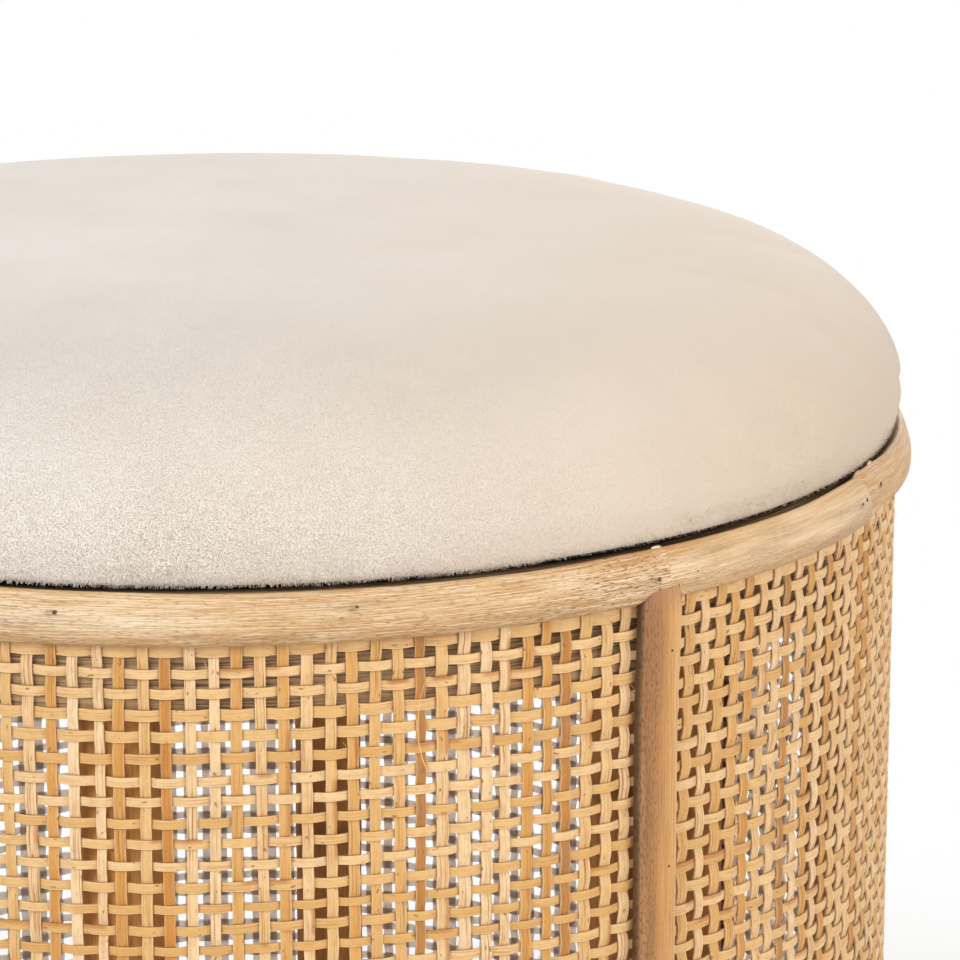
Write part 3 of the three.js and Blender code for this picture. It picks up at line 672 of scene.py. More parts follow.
# Towards the right the colour is painted darker: painted shade on the side away from the lamp on the left.
turned = add_node(
    tree, "ShaderNodeMapRange", {0: sides.outputs[0], 1: -0.02, 2: 0.16, 3: 0.0, 4: 0.8}
).outputs[0]
ground = add_node(
    tree, "ShaderNodeMix", {0: turned, 6: ground, 7: linear("#D9C8B6")}, data_type="RGBA"
).outputs[2]
lit = add_node(
    tree, "ShaderNodeMix", {0: lit_share, 6: ground, 7: linear("#FBF6F0")}, data_type="RGBA"
).outputs[2]
pile_shaded = add_node(
    tree, "ShaderNodeMix", {0: pile_shade_share, 6: lit, 7: linear("#BBAA96")}, data_type="RGBA"
).outputs[2]
tree.links.new(pile_shaded, shader.inputs["Base Color"])
soft = add_node(
    tree, "ShaderNodeTexNoise", {"Vector": place, "Scale": 420, "Detail": 3, "Roughness": 0.6}
).outputs[0]
relief = add_node(
    tree, "ShaderNodeMath", {0: soft, 1: 0.5, 2: pile_shade_share}, operation="MULTIPLY_ADD"
).outputs[0]
bump = add_node(
    tree, "ShaderNodeBump", {"Strength": 0.7, "Distance": 0.0005, "Height": relief}, invert=True
).outputs[0]
tree.links.new(bump, shader.inputs["Normal"])

# %% [markdown]
# ### Steel pins and black dust cloth
# The pins are plain steel, dulled and browned by the wood's tannin. The dust cloth is a black
# non-woven sheet, pressed together with a grid of small dimples 1.5 mm apart. Cells of noise in nearly
# even rows draw that grid with fewer nodes than two crossed waves would need.

# %% Pin and dust cloth finishes
pin_finish, tree, shader = start_finish("steel_pin_dulled", Metallic=0.85, Roughness=0.45)
place = add_node(tree, "ShaderNodeTexCoord").outputs["Object"]
rust = add_node(tree, "ShaderNodeTexNoise", {"Vector": place, "Scale": 1500, "Detail": 2}).outputs[0]
metal = add_node(
    tree, "ShaderNodeValToRGB", {0: rust}, stops=[(0.35, "#3A2E28"), (0.55, "#5A4A40"), (0.7, "#6E5646")]
).outputs[0]
tree.links.new(metal, shader.inputs["Base Color"])

cloth_finish, tree, shader = start_finish("dust_cloth_non_woven", Roughness=0.9, IOR=1.5, Sheen_Weight=0.2)
place = add_node(tree, "ShaderNodeTexCoord").outputs["Object"]
dimple = add_node(
    tree, "ShaderNodeTexVoronoi", {"Vector": place, "Scale": 650, "Randomness": 0.15}, distance="CHEBYCHEV"
).outputs[0]
fibres = add_node(tree, "ShaderNodeTexNoise", {"Vector": place, "Scale": 300, "Detail": 4}).outputs[0]
shade = add_node(
    tree, "ShaderNodeValToRGB", {0: fibres}, stops=[(0.35, "#161414"), (0.65, "#2A2726")]
).outputs[0]
tree.links.new(shade, shader.inputs["Base Color"])
bump = add_node(tree, "ShaderNodeBump", {"Strength": 0.6, "Distance": 0.0003, "Height": dimple}).outputs[0]
tree.links.new(bump, shader.inputs["Normal"])

# The heel band is flat black: painted shade for the gap between the pad and the rim.
heel_shade_finish, tree, shader = start_finish(
    "heel_shade_black", Base_Color=linear("#120D0A"), Roughness=0.95, Specular_IOR_Level=0.1
)

# %% [markdown]
# ## The cane wall
# The webbing is a plain weave: each strand goes over one and under the next. Uprights stand 1.698
# degrees apart, which is 5.8 mm, and the strands round the drum lie 5.68 mm apart. Each strand is
# modelled by itself as a ribbon with a crowned face, whose path swings out over one strand and in
# under the next. The webbing comes in four lengths, which meet under the battens. A tube with a
# picture of the weave and cut-out holes would be lighter, but it looks flat from the side and has no
# gaps of its own depth.

# %% Where strands cross
upright_pitch = 90 / 53
first_upright_bearing = -12.81
row_pitch = 5.68
first_row_height = 390.8
cane_top, cane_bottom = 404.1, 2.2
rows_above = 2
row_count = 70
upright_swing, cross_swing = 0.42, 0.51
upright_thickness, cross_thickness = 0.72, 0.66
strand_crown = 0.14
print("uprights every", round(math.radians(upright_pitch) * cane_middle_radius, 2), "mm, rows every", row_pitch)


def strand_solid(bearing, height, rise, width, thickness, twist, upright):
    """Ribbons along paths round the drum. Each ring has six corners: the face's left edge, its crowned
    middle and its right edge, then the back's right edge, middle and left edge. A corner goes sideways
    along the bearing on an upright and along the height on a strand round the drum, and the twist
    lifts one side and lowers the other."""
    half = width[..., None] / 2
    side = half * np.array([-1, 0, 1, 1, 0, -1])
    lift = thickness / 2 * np.array([1, 1, 1, -1, -1, -1]) - strand_crown * np.array([1, 0, 1, 0, 0, 0])
    if upright:
        bearing = bearing[..., None] + np.degrees(side / cane_middle_radius)
        height = height[..., None] + 0 * side
    else:
        bearing = bearing[..., None] + 0 * side
        height = height[..., None] + side
    radius = cane_middle_radius + rise[..., None] + lift + side * twist[..., None] - lean_at(height)
    return on_drum(radius, bearing, height), side


def along_path(values, steps=3):
    """Values at the crossings, with straight steps put in between them."""
    last = values.shape[1] - 1
    place = np.arange(steps * last + 1) / steps
    left = np.minimum(place.astype(int), last - 1)
    share = place - left
    return values[:, left] * (1 - share) + values[:, left + 1] * share


def round_swing(values):
    """Turns a straight swing between -1 and 1 into one that stays out over a strand and crosses
    quickly: its size is raised to the power 0.45 and keeps its sign."""
    return np.sign(values) * np.abs(values) ** 0.45


def strand_tones(rng, strands, steps, usual, spliced):
    """A tone for each strand, from the usual ones. A share of the strands changes tone where a new
    length was spliced in."""
    first = rng.choice(usual, strands)[:, None] + rng.uniform(-0.05, 0.05, (strands, 1))
    second = rng.choice(usual, strands)[:, None]
    splice = np.where(rng.random((strands, 1)) < spliced, rng.uniform(0, 1, (strands, 1)), 2)
    return np.where(np.linspace(0, 1, steps)[None, :] > splice, second, first)


# %% [markdown]
# Some uprights stand out near the front: an orange one a little left of the middle, a few brownish
# ones left of the batten and right of it, and pinkish ones between. Their tones are set by bearing.
# One strand round the drum is browned on two short stretches there.

# %% Strands of one length of webbing
marked_tones = {
    -0.9: 0.88, -7.7: 0.02, -6.0: 0.05, 4.2: 0.62, 7.6: 0.6, 14.4: 0.5, 16.1: 0.5, 17.8: 0.97,
    21.1: 0.12, 24.6: 0.06, 26.2: 0.72, 28.0: 0.7, 29.6: 0.98, 43.2: 0.2, 48.3: 0.72, 53.4: 0.98,
    56.8: 0.66, 60.2: 0.74,
}
brown_row = 4
brown_stretches = [(15.2, 16.9), (19.0, 20.4)]


def hand_drift(bearing, height):
    """How far the strands were pulled out of line when the front was nailed on, as a turn in degrees
    and a rise in mm. Uprights spread by 1.2% between the front and the first batten, and lean back
    and forth as a cosine of the height past it. Rows arch up by 0.65 mm right of the front, and hang
    0.6 mm low near the batten and past it."""
    near_front = ease((bearing + 30) / 15) * (1 - ease((bearing - 37) / 5))
    past_batten = ease((bearing - 38.5) / 2) * (1 - ease((bearing - 62) / 12))
    spread = (0.0115 * (np.clip(bearing, -14, 38.2) + 2) - 0.08) * near_front
    lean = (0.30 * np.cos((390 - height) / 27) + 0.02 * (bearing - 43) - 0.16) * past_batten
    arch = 0.65 * ease((bearing + 2) / 9) * (1 - ease((bearing - 16) / 14)) * ease((388 - height) / 20)
    drop = 0.6 * ease((bearing - 16) / 14) * (1 - past_batten)
    drop = drop + (0.1 + 0.6 * ease((bearing - 40) / 12)) * past_batten
    return spread + lean * ease((height - 250) / 90), (arch - drop) * ease((height - 200) / 90)


# %% Where the strands of one length cross
edge_margin = 0.55
row_numbers = np.arange(row_count) - rows_above


def crossings(rng, start, end):
    """The uprights' numbers, 1 or -1 where an upright lies over or under a row, and the bearings and
    heights of the crossings. Each strand wanders, stands a little off its place as a whole, and
    follows the pull of the hand."""
    first = math.ceil((start + edge_margin - first_upright_bearing) / upright_pitch)
    last = math.floor((end - edge_margin - first_upright_bearing) / upright_pitch)
    counts = np.arange(first, last + 1)
    uprights, rows = len(counts), row_count
    over = np.where((counts[:, None] + row_numbers[None, :]) % 2 == 0, 1.0, -1.0)
    base_bearing = first_upright_bearing + upright_pitch * counts
    base_height = first_row_height - row_pitch * row_numbers
    bearing = base_bearing[:, None] + 0.13 * wander(rng, uprights, rows, 9) + rng.normal(0, 0.05, (uprights, 1))
    height = base_height[None, :] + 0.34 * wander(rng, rows, uprights, 7).T + rng.normal(0, 0.08, (1, rows))
    local_turn, local_rise = hand_drift((bearing + 180) % 360 - 180, height)
    return counts, over, bearing + local_turn, height + local_rise


# %% Uprights of one length
upright_tones = [0.08, 0.16, 0.24, 0.32, 0.38, 0.44, 0.5, 0.58, 0.66, 0.74]


def upright_strands(rng, number, counts, over, bearing, height):
    """Points, UV, tones and stains of the uprights: ribbons from the cane's top edge through all
    crossings to its bottom edge. The first length has slightly wider ones."""
    uprights, rows = over.shape
    edge = np.ones((uprights, 1))
    up_bearing = along_path(np.hstack([bearing[:, :1], bearing, bearing[:, -1:]]))
    up_height = along_path(np.hstack([edge * cane_top, height, edge * cane_bottom]))
    swing = along_path(np.hstack([0 * edge, over, 0 * edge]))
    width = 2.78 + rng.normal(0, 0.2, (uprights, 1)) + 0.12 * wander(rng, uprights, rows + 2, 16)
    width = along_path(np.clip(width, 2.3, 3.2) + 0.24 * (number == 1))
    steps = up_bearing.shape[1]
    tone = strand_tones(rng, uprights, steps, upright_tones, 0.45)
    for place, value in marked_tones.items():
        column = round((place - first_upright_bearing) / upright_pitch) - counts[0]
        if 0 <= column < uprights:
            tone[column] = value
    twist = 0.09 * wander(rng, uprights, steps, 14)
    rise = upright_swing * round_swing(swing)
    points, side = strand_solid(up_bearing, up_height, rise, width, upright_thickness, twist, True)
    travel = up_height[..., None] + 0 * side
    lay = np.stack([travel, side + 7.3 * counts[:, None, None]], -1) * MM
    stain = (wander(rng, uprights, steps, 18) > 0.82) * 1.0
    return points, lay, tone[..., None] + 0 * side, stain[..., None] + 0 * side


# %% Strands round the drum, of one length
row_tones = [0.1, 0.2, 0.28, 0.35, 0.42, 0.5, 0.6, 0.7]


def row_strands(rng, number, over, bearing, height, start, end):
    """Points, UV, tones and stains of the strands round the drum, which go under where the uprights
    go over. The one along the hoop's edge is 0.7 mm wider than the others."""
    uprights, rows = over.shape
    edge = np.ones((rows, 1))
    low_edge, high_edge = edge * (start + 0.06), edge * (end - 0.06)
    row_bearing = along_path(np.hstack([low_edge, bearing.T, high_edge]))
    row_height = along_path(np.hstack([height.T[:, :1], height.T, height.T[:, -1:]]))
    swing = along_path(np.hstack([0 * edge, -over.T, 0 * edge]))
    width = 2.42 + rng.normal(0, 0.13, (rows, 1)) + 0.1 * wander(rng, rows, uprights + 2, 14)
    width[rows_above] += 0.7
    width = along_path(width + 0.2 * (number == 1))
    steps = row_bearing.shape[1]
    tone = strand_tones(rng, rows, steps, row_tones, 0.3)
    twist = 0.07 * wander(rng, rows, steps, 14)
    rise = cross_swing * round_swing(swing)
    points, side = strand_solid(row_bearing, row_height, rise, width, cross_thickness, twist, False)
    travel = np.radians(row_bearing)[..., None] * cane_middle_radius + 0 * side
    lay = np.stack([travel, side + 6.1 * row_numbers[:, None, None]], -1) * MM
    stain = (wander(rng, rows, steps, 14) > 0.72) * 1.0
    along_row = row_bearing[brown_row] % 360
    browned = sum((along_row > low) & (along_row < high) for low, high in brown_stretches)
    stain[brown_row] = np.maximum(stain[brown_row], 1.3 * browned)
    return points, lay, tone[..., None] + 0 * side, stain[..., None] + 0 * side


# %% Four lengths of webbing
for number, start in enumerate(batten_bearings, 1):
    start = start - 360 if number == 4 else start
    rng = np.random.default_rng(40 + number)
    counts, over, bearing, height = crossings(rng, start, start + 90)
    upright_arrays = upright_strands(rng, number, counts, over, bearing, height)
    row_arrays = row_strands(rng, number, over, bearing, height, start, start + 90)
    for kind, finish, (points, lay, tones, stains) in (
        ("uprights", upright_finish, upright_arrays),
        ("crosses", cross_finish, row_arrays),
    ):
        strands, rings, corners = points.shape[:3]
        faces = tube_faces(strands, rings, corners)
        edges = np.array([-1.0, 0, 1, 1, 0, -1]) + 0 * tones
        backs = np.array([0.0, 0, 0, 1, 1, 1]) + 0 * tones
        piece = make_piece(
            f"cane_{number}_{kind}", points, faces, lay, 50, tone=tones, edge=edges, stain=stains, inside=backs
        )
        settle(piece, finish, "woven_cane", "drum", f"cane_panel_{number}")
        print("  ", strands, "strands")

# %% [markdown]
# ### Loose fibres
# Splitting leaves hair-thin fibres that spring away from the strands. They are 0.1 mm thick and a few
# millimetres to a few centimetres long. One long fibre hangs in front of the wall near the middle.
# Hair particles could draw them, but tubes with four sides are plain meshes, and export as such.

# %% Whiskers
cane_face_radius = 196.0


def whisker_solid(bearing, height, radius, thick):
    """Thin square tubes along paths round the drum: four corners, a tapering thickness away from the
    path, out and in and to both sides."""
    taper = thick * (1 - 0.7 * np.linspace(0, 1, bearing.shape[1]))[None, :, None]
    out = taper * np.array([1, 0, -1, 0])
    side = taper * np.array([0, 1, 0, -1])
    slant = 0.5 * side
    return on_drum(
        radius[..., None] + out,
        bearing[..., None] + np.degrees(side / cane_face_radius),
        height[..., None] + slant,
    )


rng = np.random.default_rng(7)
whiskers, rings = 460, 9
share = np.linspace(0, 1, rings)[None, :]
root_bearing = rng.uniform(0, 360, (whiskers, 1))
root_height = rng.uniform(22, 388, (whiskers, 1))
root_height[:60] = rng.uniform(383, 391, (60, 1))
length = rng.gamma(2.2, 3.0, (whiskers, 1)) + 2
length *= 1 - 0.75 * ease((root_bearing - 50) / 12) * (1 - ease((root_bearing - 115) / 15))
heading = rng.uniform(-1, 1, (whiskers, 1))
curl = rng.uniform(-1.2, 1.2, (whiskers, 1))
run = heading * share + curl * share**2 * 0.6
fall = rng.uniform(-0.9, 0.9, (whiskers, 1)) * share - 0.25 * share**2
stand = rng.uniform(0.1, 0.28, (whiskers, 1)) * np.sin(share * 2.4) + 0.02
whisker_points = whisker_solid(
    root_bearing + np.degrees(length * run / cane_face_radius),
    root_height + length * fall,
    cane_face_radius + np.minimum(length * stand, 0.8),
    0.065,
)
# The long fibre hangs from the second row in a shallow hook that bends back at its lower end.
hang = share[:, ::-1] ** 1.4
long_bearing = 17.45 + 1.65 * np.exp(-hang / 0.12) + np.clip(2 * hang - 1, 0, 1) ** 2
long_radius = 196.4 + 1.5 * np.sin(np.pi * hang**0.6)
long_points = whisker_solid(long_bearing, 383.9 - 28.5 * hang, long_radius, 0.15)
points = np.concatenate([whisker_points, long_points])
travel = np.broadcast_to(share[..., None] * 12, points.shape[:3])
lay = np.stack([travel, travel * 0 + np.arange(len(points))[:, None, None]], -1) * MM
faces = tube_faces(len(points), rings, 4)
whisker_piece = make_piece("cane_whiskers", points, faces, lay, tone=0.1 + 0 * travel)
settle(whisker_piece, upright_finish, "woven_cane", "drum")

# %% [markdown]
# ## The hoops
# An outer hoop is half a rattan pole, its flat side against the cane. The section bulges as a sine
# raised to the power 0.75 does, and leans in towards the rim. Over a batten its edge is coped: cut in
# a soft curve that the batten's end fits under. On the first batten that curve climbs from the left,
# because the long length ends there and the filler takes over. A curve with a bevel would be a quick
# way to a hoop, but its section has to change along it, so the hoop is a surface of two numbers: the
# bearing, and the share of the way round the section.

# %% How the hoop is coped over the battens
def cope_at(bearing):
    """How far the hoop's edge is cut back, in mm: an eased climb to 2.3 mm over each batten's width.
    Over the first batten it climbs from the left to 4.3 mm and drops steeply at the right."""
    lift = np.zeros_like(bearing)
    for number, centre in enumerate(batten_bearings):
        off = np.radians((bearing - centre + 180) % 360 - 180) * 200
        if number == 0:
            rise = 3.6 * ease((off + 11) / 7) + 0.7 * ease((off + 1.5) / 5)
            bump = rise * (1 - ease((off - 3.5) / 0.7))
        else:
            bump = batten_cope * ease((1.12 - np.abs(off) * 2 / batten_width) / 0.45)
        lift = np.maximum(lift, bump)
    return lift


def hoop_bearings(start, end, pins):
    """Bearings every half degree, and every tenth of a degree near the battens, pins and ends."""
    values = [np.arange(start, end, 0.5), [end]]
    for centre in [*batten_bearings, *(b + 360 for b in batten_bearings), start, end]:
        values.append(np.arange(centre - 3.3, centre + 3.2, 0.1))
    for pin in pins:
        values.append(np.arange(pin - 1.3, pin + 0.9, 0.1))
    values = np.unique(np.round(np.concatenate(values), 3))
    return values[(values >= start) & (values <= end)]


# %% Where the hoops start and end, and their pins
long_start, long_end = 63.9, 398.41
filler_start, filler_end = 38.4, 65.87
hoop_face_radius = 198
hoop_swell = hoop_bulge - 0.16
hoop_rise = hoop_height - 0.3
top_hoop_middle = (top_wall_edge + rim_height) / 2
bottom_hoop_middle = (bottom_wall_edge + 0.6) / 2
unscarred_pin = 41.1
long_hoop_pins = {
    69.4: 1.9, 96: 0.6, 124: -0.8, 152: 1.2, 180: 0, 208: 1.6, 236: -0.5,
    264: 0.9, 296: 1.4, 325: 0.3, 351.2: 2.3, 372.9: 2.7, 397.3: 0,
}
filler_pins = {unscarred_pin: 0, 64.0: 1}
bottom_hoop_pins = {230.2 + 45 * k: 0 for k in range(8)}
print(len(long_hoop_pins) + len(filler_pins), "pins above and", len(bottom_hoop_pins), "below")


# %% Section and scars of a hoop
def bulge_at(along):
    """How far the section stands out at a share of its height, as a share of its thickness: the sine
    to the power 0.75, falling to 0.42 in the top third, which makes the rim's crest squarer."""
    sine = 2 * np.sqrt(np.clip(along * (1 - along), 0, 1))
    return sine ** (0.75 - 0.33 * ease((along - 0.66) / 0.3))


def hoop_scars(rng, bearing, height, middle, start, end, pins):
    """How brown the hoop is scarred: a spot round each pin with a smear below it, each a bell curve of
    the distance, and nine faint smudges at random places."""
    scar = np.zeros_like(height)
    for pin, rise in pins.items():
        off = np.radians(bearing - pin) * hoop_face_radius
        spot = np.exp(-(((off + 0.9) / 1.6) ** 4) - ((height - middle - rise) / 0.8) ** 4)
        tail = 0.22 * np.exp(-(((off + 4) / 8) ** 2) - ((height - middle - rise + 2.2) / 1.4) ** 2)
        scar = np.maximum(scar, 0.75 * spot + tail) if pin != unscarred_pin else scar
    for place, above in zip(rng.uniform(start, end, 9), rng.uniform(-4, 5, 9)):
        off = np.radians(bearing - place) * hoop_face_radius
        scar = np.maximum(scar, 0.3 * np.exp(-((off / 9) ** 2) - ((height - middle - above) / 1.4) ** 2))
    return scar


# %% Rough, stained and pale zones of a hoop
def hoop_zones(bearing, along, bulge, wave, coarse, up, is_long, is_filler):
    """Three marks for the finish. Coarse makes fibres and pores strong: it drifts, and grows near the
    joint over the first batten. Stain lies on the top third near that joint and where the hoop is
    worn, and on the start of the long hoop, where it is partly painted shade. Pale is a painted
    highlight: a band along the middle, a bell curve of the share of the height, strongest on the
    left and from the joint over the filler."""
    wrapped = (bearing + 180) % 360 - 180
    near_joint = ease((wrapped - 26) / 9) * (1 - ease((wrapped - 38.4) / 7)) * up
    roughened = 0.5 - 0.2 * ease((wrapped - 35) / 3.4) + 0.1 * is_filler
    coarse = coarse * (0.8 + 0.2 * wave) + roughened * near_joint + 0 * along
    left, joint, far = ease((7 - wrapped) / 9), ease((wrapped - 26) / 8), ease((wrapped - 65.9) / 0.3)
    middle_band = np.exp(-(((along - 0.56) / 0.25) ** 2))
    pale = middle_band * (0.2 - 0.18 * up + 0.7 * np.maximum(left, 0.75 * joint * (1 - far)) * up)
    worn = ease((wave + 0.2) / 0.9) * 0.35
    stain = ease((along - 0.68) / 0.3) * (near_joint + worn * (1 - near_joint)) * (bulge > 0.02)
    # Over the first degrees of the long hoop the stain is partly painted shade.
    stain = np.maximum(stain, 0.5 * (1 - ease((bearing - 74) / 22)) * is_long + 0 * along)
    return coarse, stain, pale


# %% The half-round hoops
def outer_hoop(name, start, end, up, coarse, pins, seed, proud=0.0, node=None):
    """Half-round strip round the drum. Its section has a flat cut face at the wall edge, then the round
    face up to the rim, and a flat back. Where the hoop is coped the cut face lies higher and the
    grain runs on above it unchanged. A slow drift flattens it by up to 0.3 mm. The long hoop is shaved
    thinner and lower where it starts, with a tongue behind the filler, whose end there is rounded. The
    crest slopes inward, so that it shows as an edge."""
    rng = np.random.default_rng(seed)
    bearing = hoop_bearings(start, end, pins)[:, None]
    steps = bearing.shape[0]
    drift = wander(rng, 1, steps, max(4, int((end - start) / 9)))[0][:, None]
    wave = wander(rng, 1, steps, max(4, int((end - start) / 16)))[0][:, None]
    wrapped = (bearing + 180) % 360 - 180
    trimmed = 3.0 * ease((wrapped - 64.5) / 6) * (1 - ease((wrapped - 96) / 15)) * up
    low = (cope_at(bearing) + 0.15 + 0.09 * (1 + wave) + trimmed) / hoop_height
    turn = np.linspace(0, np.pi, 27)[None, :]
    face = low + (1 - low) * (1 - np.cos(turn)) / 2
    back = np.linspace(1, 0, 7)[None, 1:-1] * (1 - low) + low
    along = np.hstack([low, low, low, face, back])
    bulge = np.hstack([low * 0, bulge_at(low) / 3, bulge_at(low) / 1.5, bulge_at(face), 0 * back])
    is_long, is_filler = start == long_start, end == filler_end
    # Where the long hoop starts it is shaved, and its first two degrees are a tongue behind the filler.
    shaved = (1 - ease((bearing - 67) / 7)) * is_long
    tongue = (1 - ease((bearing - 65.9) / 0.4)) * is_long
    off_end = np.clip(1 - (filler_end - bearing) * 3.45 / 6.5, 0, 1) * is_filler
    corner = 1 - np.sqrt(1 - off_end**2)
    tip = 1.3 * (1 - ease((bearing - 64.3) / 1.2))
    lowered = 3.0 * corner + (tip - 0.7 * (1 - ease((bearing - 68) / 5))) * is_long
    # The crest is 0.85 mm above the rim at the back, and higher at the front and on the right.
    crest = 0.85 + 0.35 * (1 - ease((wrapped + 6) / 9)) * ease((wrapped + 40) / 20)
    crest = crest + 0.5 * ease((wrapped - 26) / 10) * (1 - ease((wrapped - 75) / 20))
    crest = crest + 0.6 * ease((wrapped - 54) / 8) * (1 - ease((wrapped - 74) / 8))
    swell = hoop_swell + proud * ease((bearing - 42) / 12) + 0.14 * drift
    swell = swell - 1.15 * shaved - 1.2 * tongue - 0.25 * corner
    tilt = 0.05 * wave * np.sin(2 * np.pi * along)
    radius = hoop_back_radius - hoop_lean * along + swell * bulge + tilt * bulge + 0.12 * tongue
    inward = 1.0 + 0.9 * ease((wrapped - 30) / 20) * (1 - ease((wrapped - 85) / 15))
    inward = inward * np.clip((0.5 - bulge) / 0.5, 0, 1) * (along > 0.9)
    if up:
        height = top_wall_edge + hoop_rise * along + (crest - lowered) * along**4 - inward
        radius = radius + 0.2 * shaved * (1 - bulge)
    else:
        height = bottom_wall_edge - hoop_height * along + 0 * bearing
    points = on_drum(radius, bearing + 0 * along, height)
    # Lengths along the section, measured on 400 fine steps, for a pattern that isn't stretched.
    fine = np.linspace(0, 1, 400)
    travel = np.hypot(np.diff(hoop_swell * bulge_at(fine) - hoop_lean * fine), np.diff(hoop_rise * fine))
    girth = np.interp(along, fine, np.concatenate([[0], np.cumsum(travel)]))
    girth[:, :3] -= hoop_swell * (bulge_at(low) - bulge[:, :3])
    girth[:, 30:] += 40
    lay = np.stack([np.radians(bearing) * hoop_face_radius + 0 * girth, girth + 31 * seed], -1) * MM
    middle = top_hoop_middle if up else bottom_hoop_middle
    scar = hoop_scars(rng, bearing, height, middle, start, end, pins) * (bulge > 0.05)
    coarse, stain, pale = hoop_zones(bearing, along, bulge, wave, coarse, up, is_long, is_filler)
    piece = make_piece(
        name, points, tube_faces(1, steps, along.shape[1]), lay, 55,
        girth=along + 0 * bearing, coarse=coarse, scar=scar, stain=stain, pale=pale,
    )
    settle(piece, peeled_finish, "peeled_rattan", "drum", node)


outer_hoop("top_hoop_long", long_start, long_end, True, 1.0, long_hoop_pins, 3, node="outer_top_hoop")
outer_hoop(
    "top_hoop_filler", filler_start, filler_end, True, 0.5, filler_pins, 4, 0.12, node="outer_top_hoop_filler"
)
outer_hoop("bottom_hoop", 218.24, 578.16, False, 0.9, bottom_hoop_pins, 5, node="outer_bottom_hoop")

# %% [markdown]
# Two pale splinters stand up from the hoop's top edge, where the tool tore it: thin square tubes that
# taper to both ends. As marks in the finish they wouldn't stand up against the dark gap.

# %% Splinters
splinter_places = np.array([[37.3, 38.3], [67.6, 68.8]])
splinter_heights = np.array([406.75, 408.2])[:, None, None]
share = np.linspace(0, 1, 6)[None, :]
bearing = splinter_places[:, :1] + (splinter_places[:, 1:] - splinter_places[:, :1]) * share
thick = (0.1 + 0.5 * np.sin(np.pi * share) ** 0.7)[..., None] * np.array([1.0, 1.1])[:, None, None]
lift = np.array([-0.5, -0.5, 0.5, 0.6])
depth = np.array([-0.5, 0.5, 0.5, -0.5])
points = on_drum(196.2 + 0.5 * thick * depth, bearing[..., None] + 0 * lift, splinter_heights + thick * lift)
lay = np.stack([np.radians(bearing[..., None]) * 195 + 0 * points[..., 0], points[..., 2]], -1) * MM
plain = np.ones(points.shape[:3])
splinters = make_piece(
    "hoop_splinters", points, tube_faces(2, 6, 4), lay, 40, girth=0.9 * plain, coarse=0 * plain, scar=0 * plain,
    stain=0 * plain, pale=plain,
)
settle(splinters, peeled_finish, "peeled_rattan", "drum")

# %% [markdown]
# An inner hoop is a flat strip 32 mm tall and 8 mm thick. Its section is a rectangle with eased
# edges, whose outer side leans in with the wall. Its two ends meet behind a batten. A ring from a bent
# box would do as well, and a section carried round the drum gives the same with fewer steps.

# %% The flat inner hoops
def eased_rectangle(width, height, ease_radius, steps=4):
    """Corners of a rectangle about its centre, each rounded by a quarter circle."""
    quarter = np.linspace(0, np.pi / 2, steps)
    turn = np.concatenate([quarter + k * np.pi / 2 for k in range(4)])
    side = np.repeat([1, -1, -1, 1], steps)
    top = np.repeat([1, 1, -1, -1], steps)
    x = side * (width / 2 - ease_radius) + ease_radius * np.cos(turn)
    y = top * (height / 2 - ease_radius) + ease_radius * np.sin(turn)
    return x, y


for name, low in (("inner_bottom_hoop", 0.0), ("inner_top_hoop", inner_hoop_top - inner_hoop_height)):
    inner, outer = inner_hoop_radii
    across, up = eased_rectangle(outer - inner, inner_hoop_height, 1.0)
    bearing = np.linspace(308.23, 668.17, 361)[:, None]
    height = low + inner_hoop_height / 2 + up[None, :]
    past_middle = (across[None, :] > 0) * 1.0
    radius = (inner + outer) / 2 + across[None, :] - past_middle * lean_at(height)
    points = on_drum(radius, bearing, height)
    girth = np.cumsum(np.hypot(np.diff(across, prepend=across[-1:]), np.diff(up, prepend=up[-1:])))
    lay = np.stack([np.radians(bearing) * 190 + 0 * height, girth[None, :] + 0 * bearing + low], -1) * MM
    piece = make_piece(f"{name}_strip", points, tube_faces(1, len(bearing), len(across)), lay, 60)
    settle(piece, bent_finish, "bent_wood", "drum", name)

# %% [markdown]
# ## The posts
# Each post is a rattan pole 23 mm thick. It swells by a third of a millimetre at its nodes, and it is
# notched 8 mm deep at both ends, where the inner hoops pass. The notch could be cut with a boolean,
# but pulling the points that reach too far out back to the hoop's inner side leaves cleaner faces.

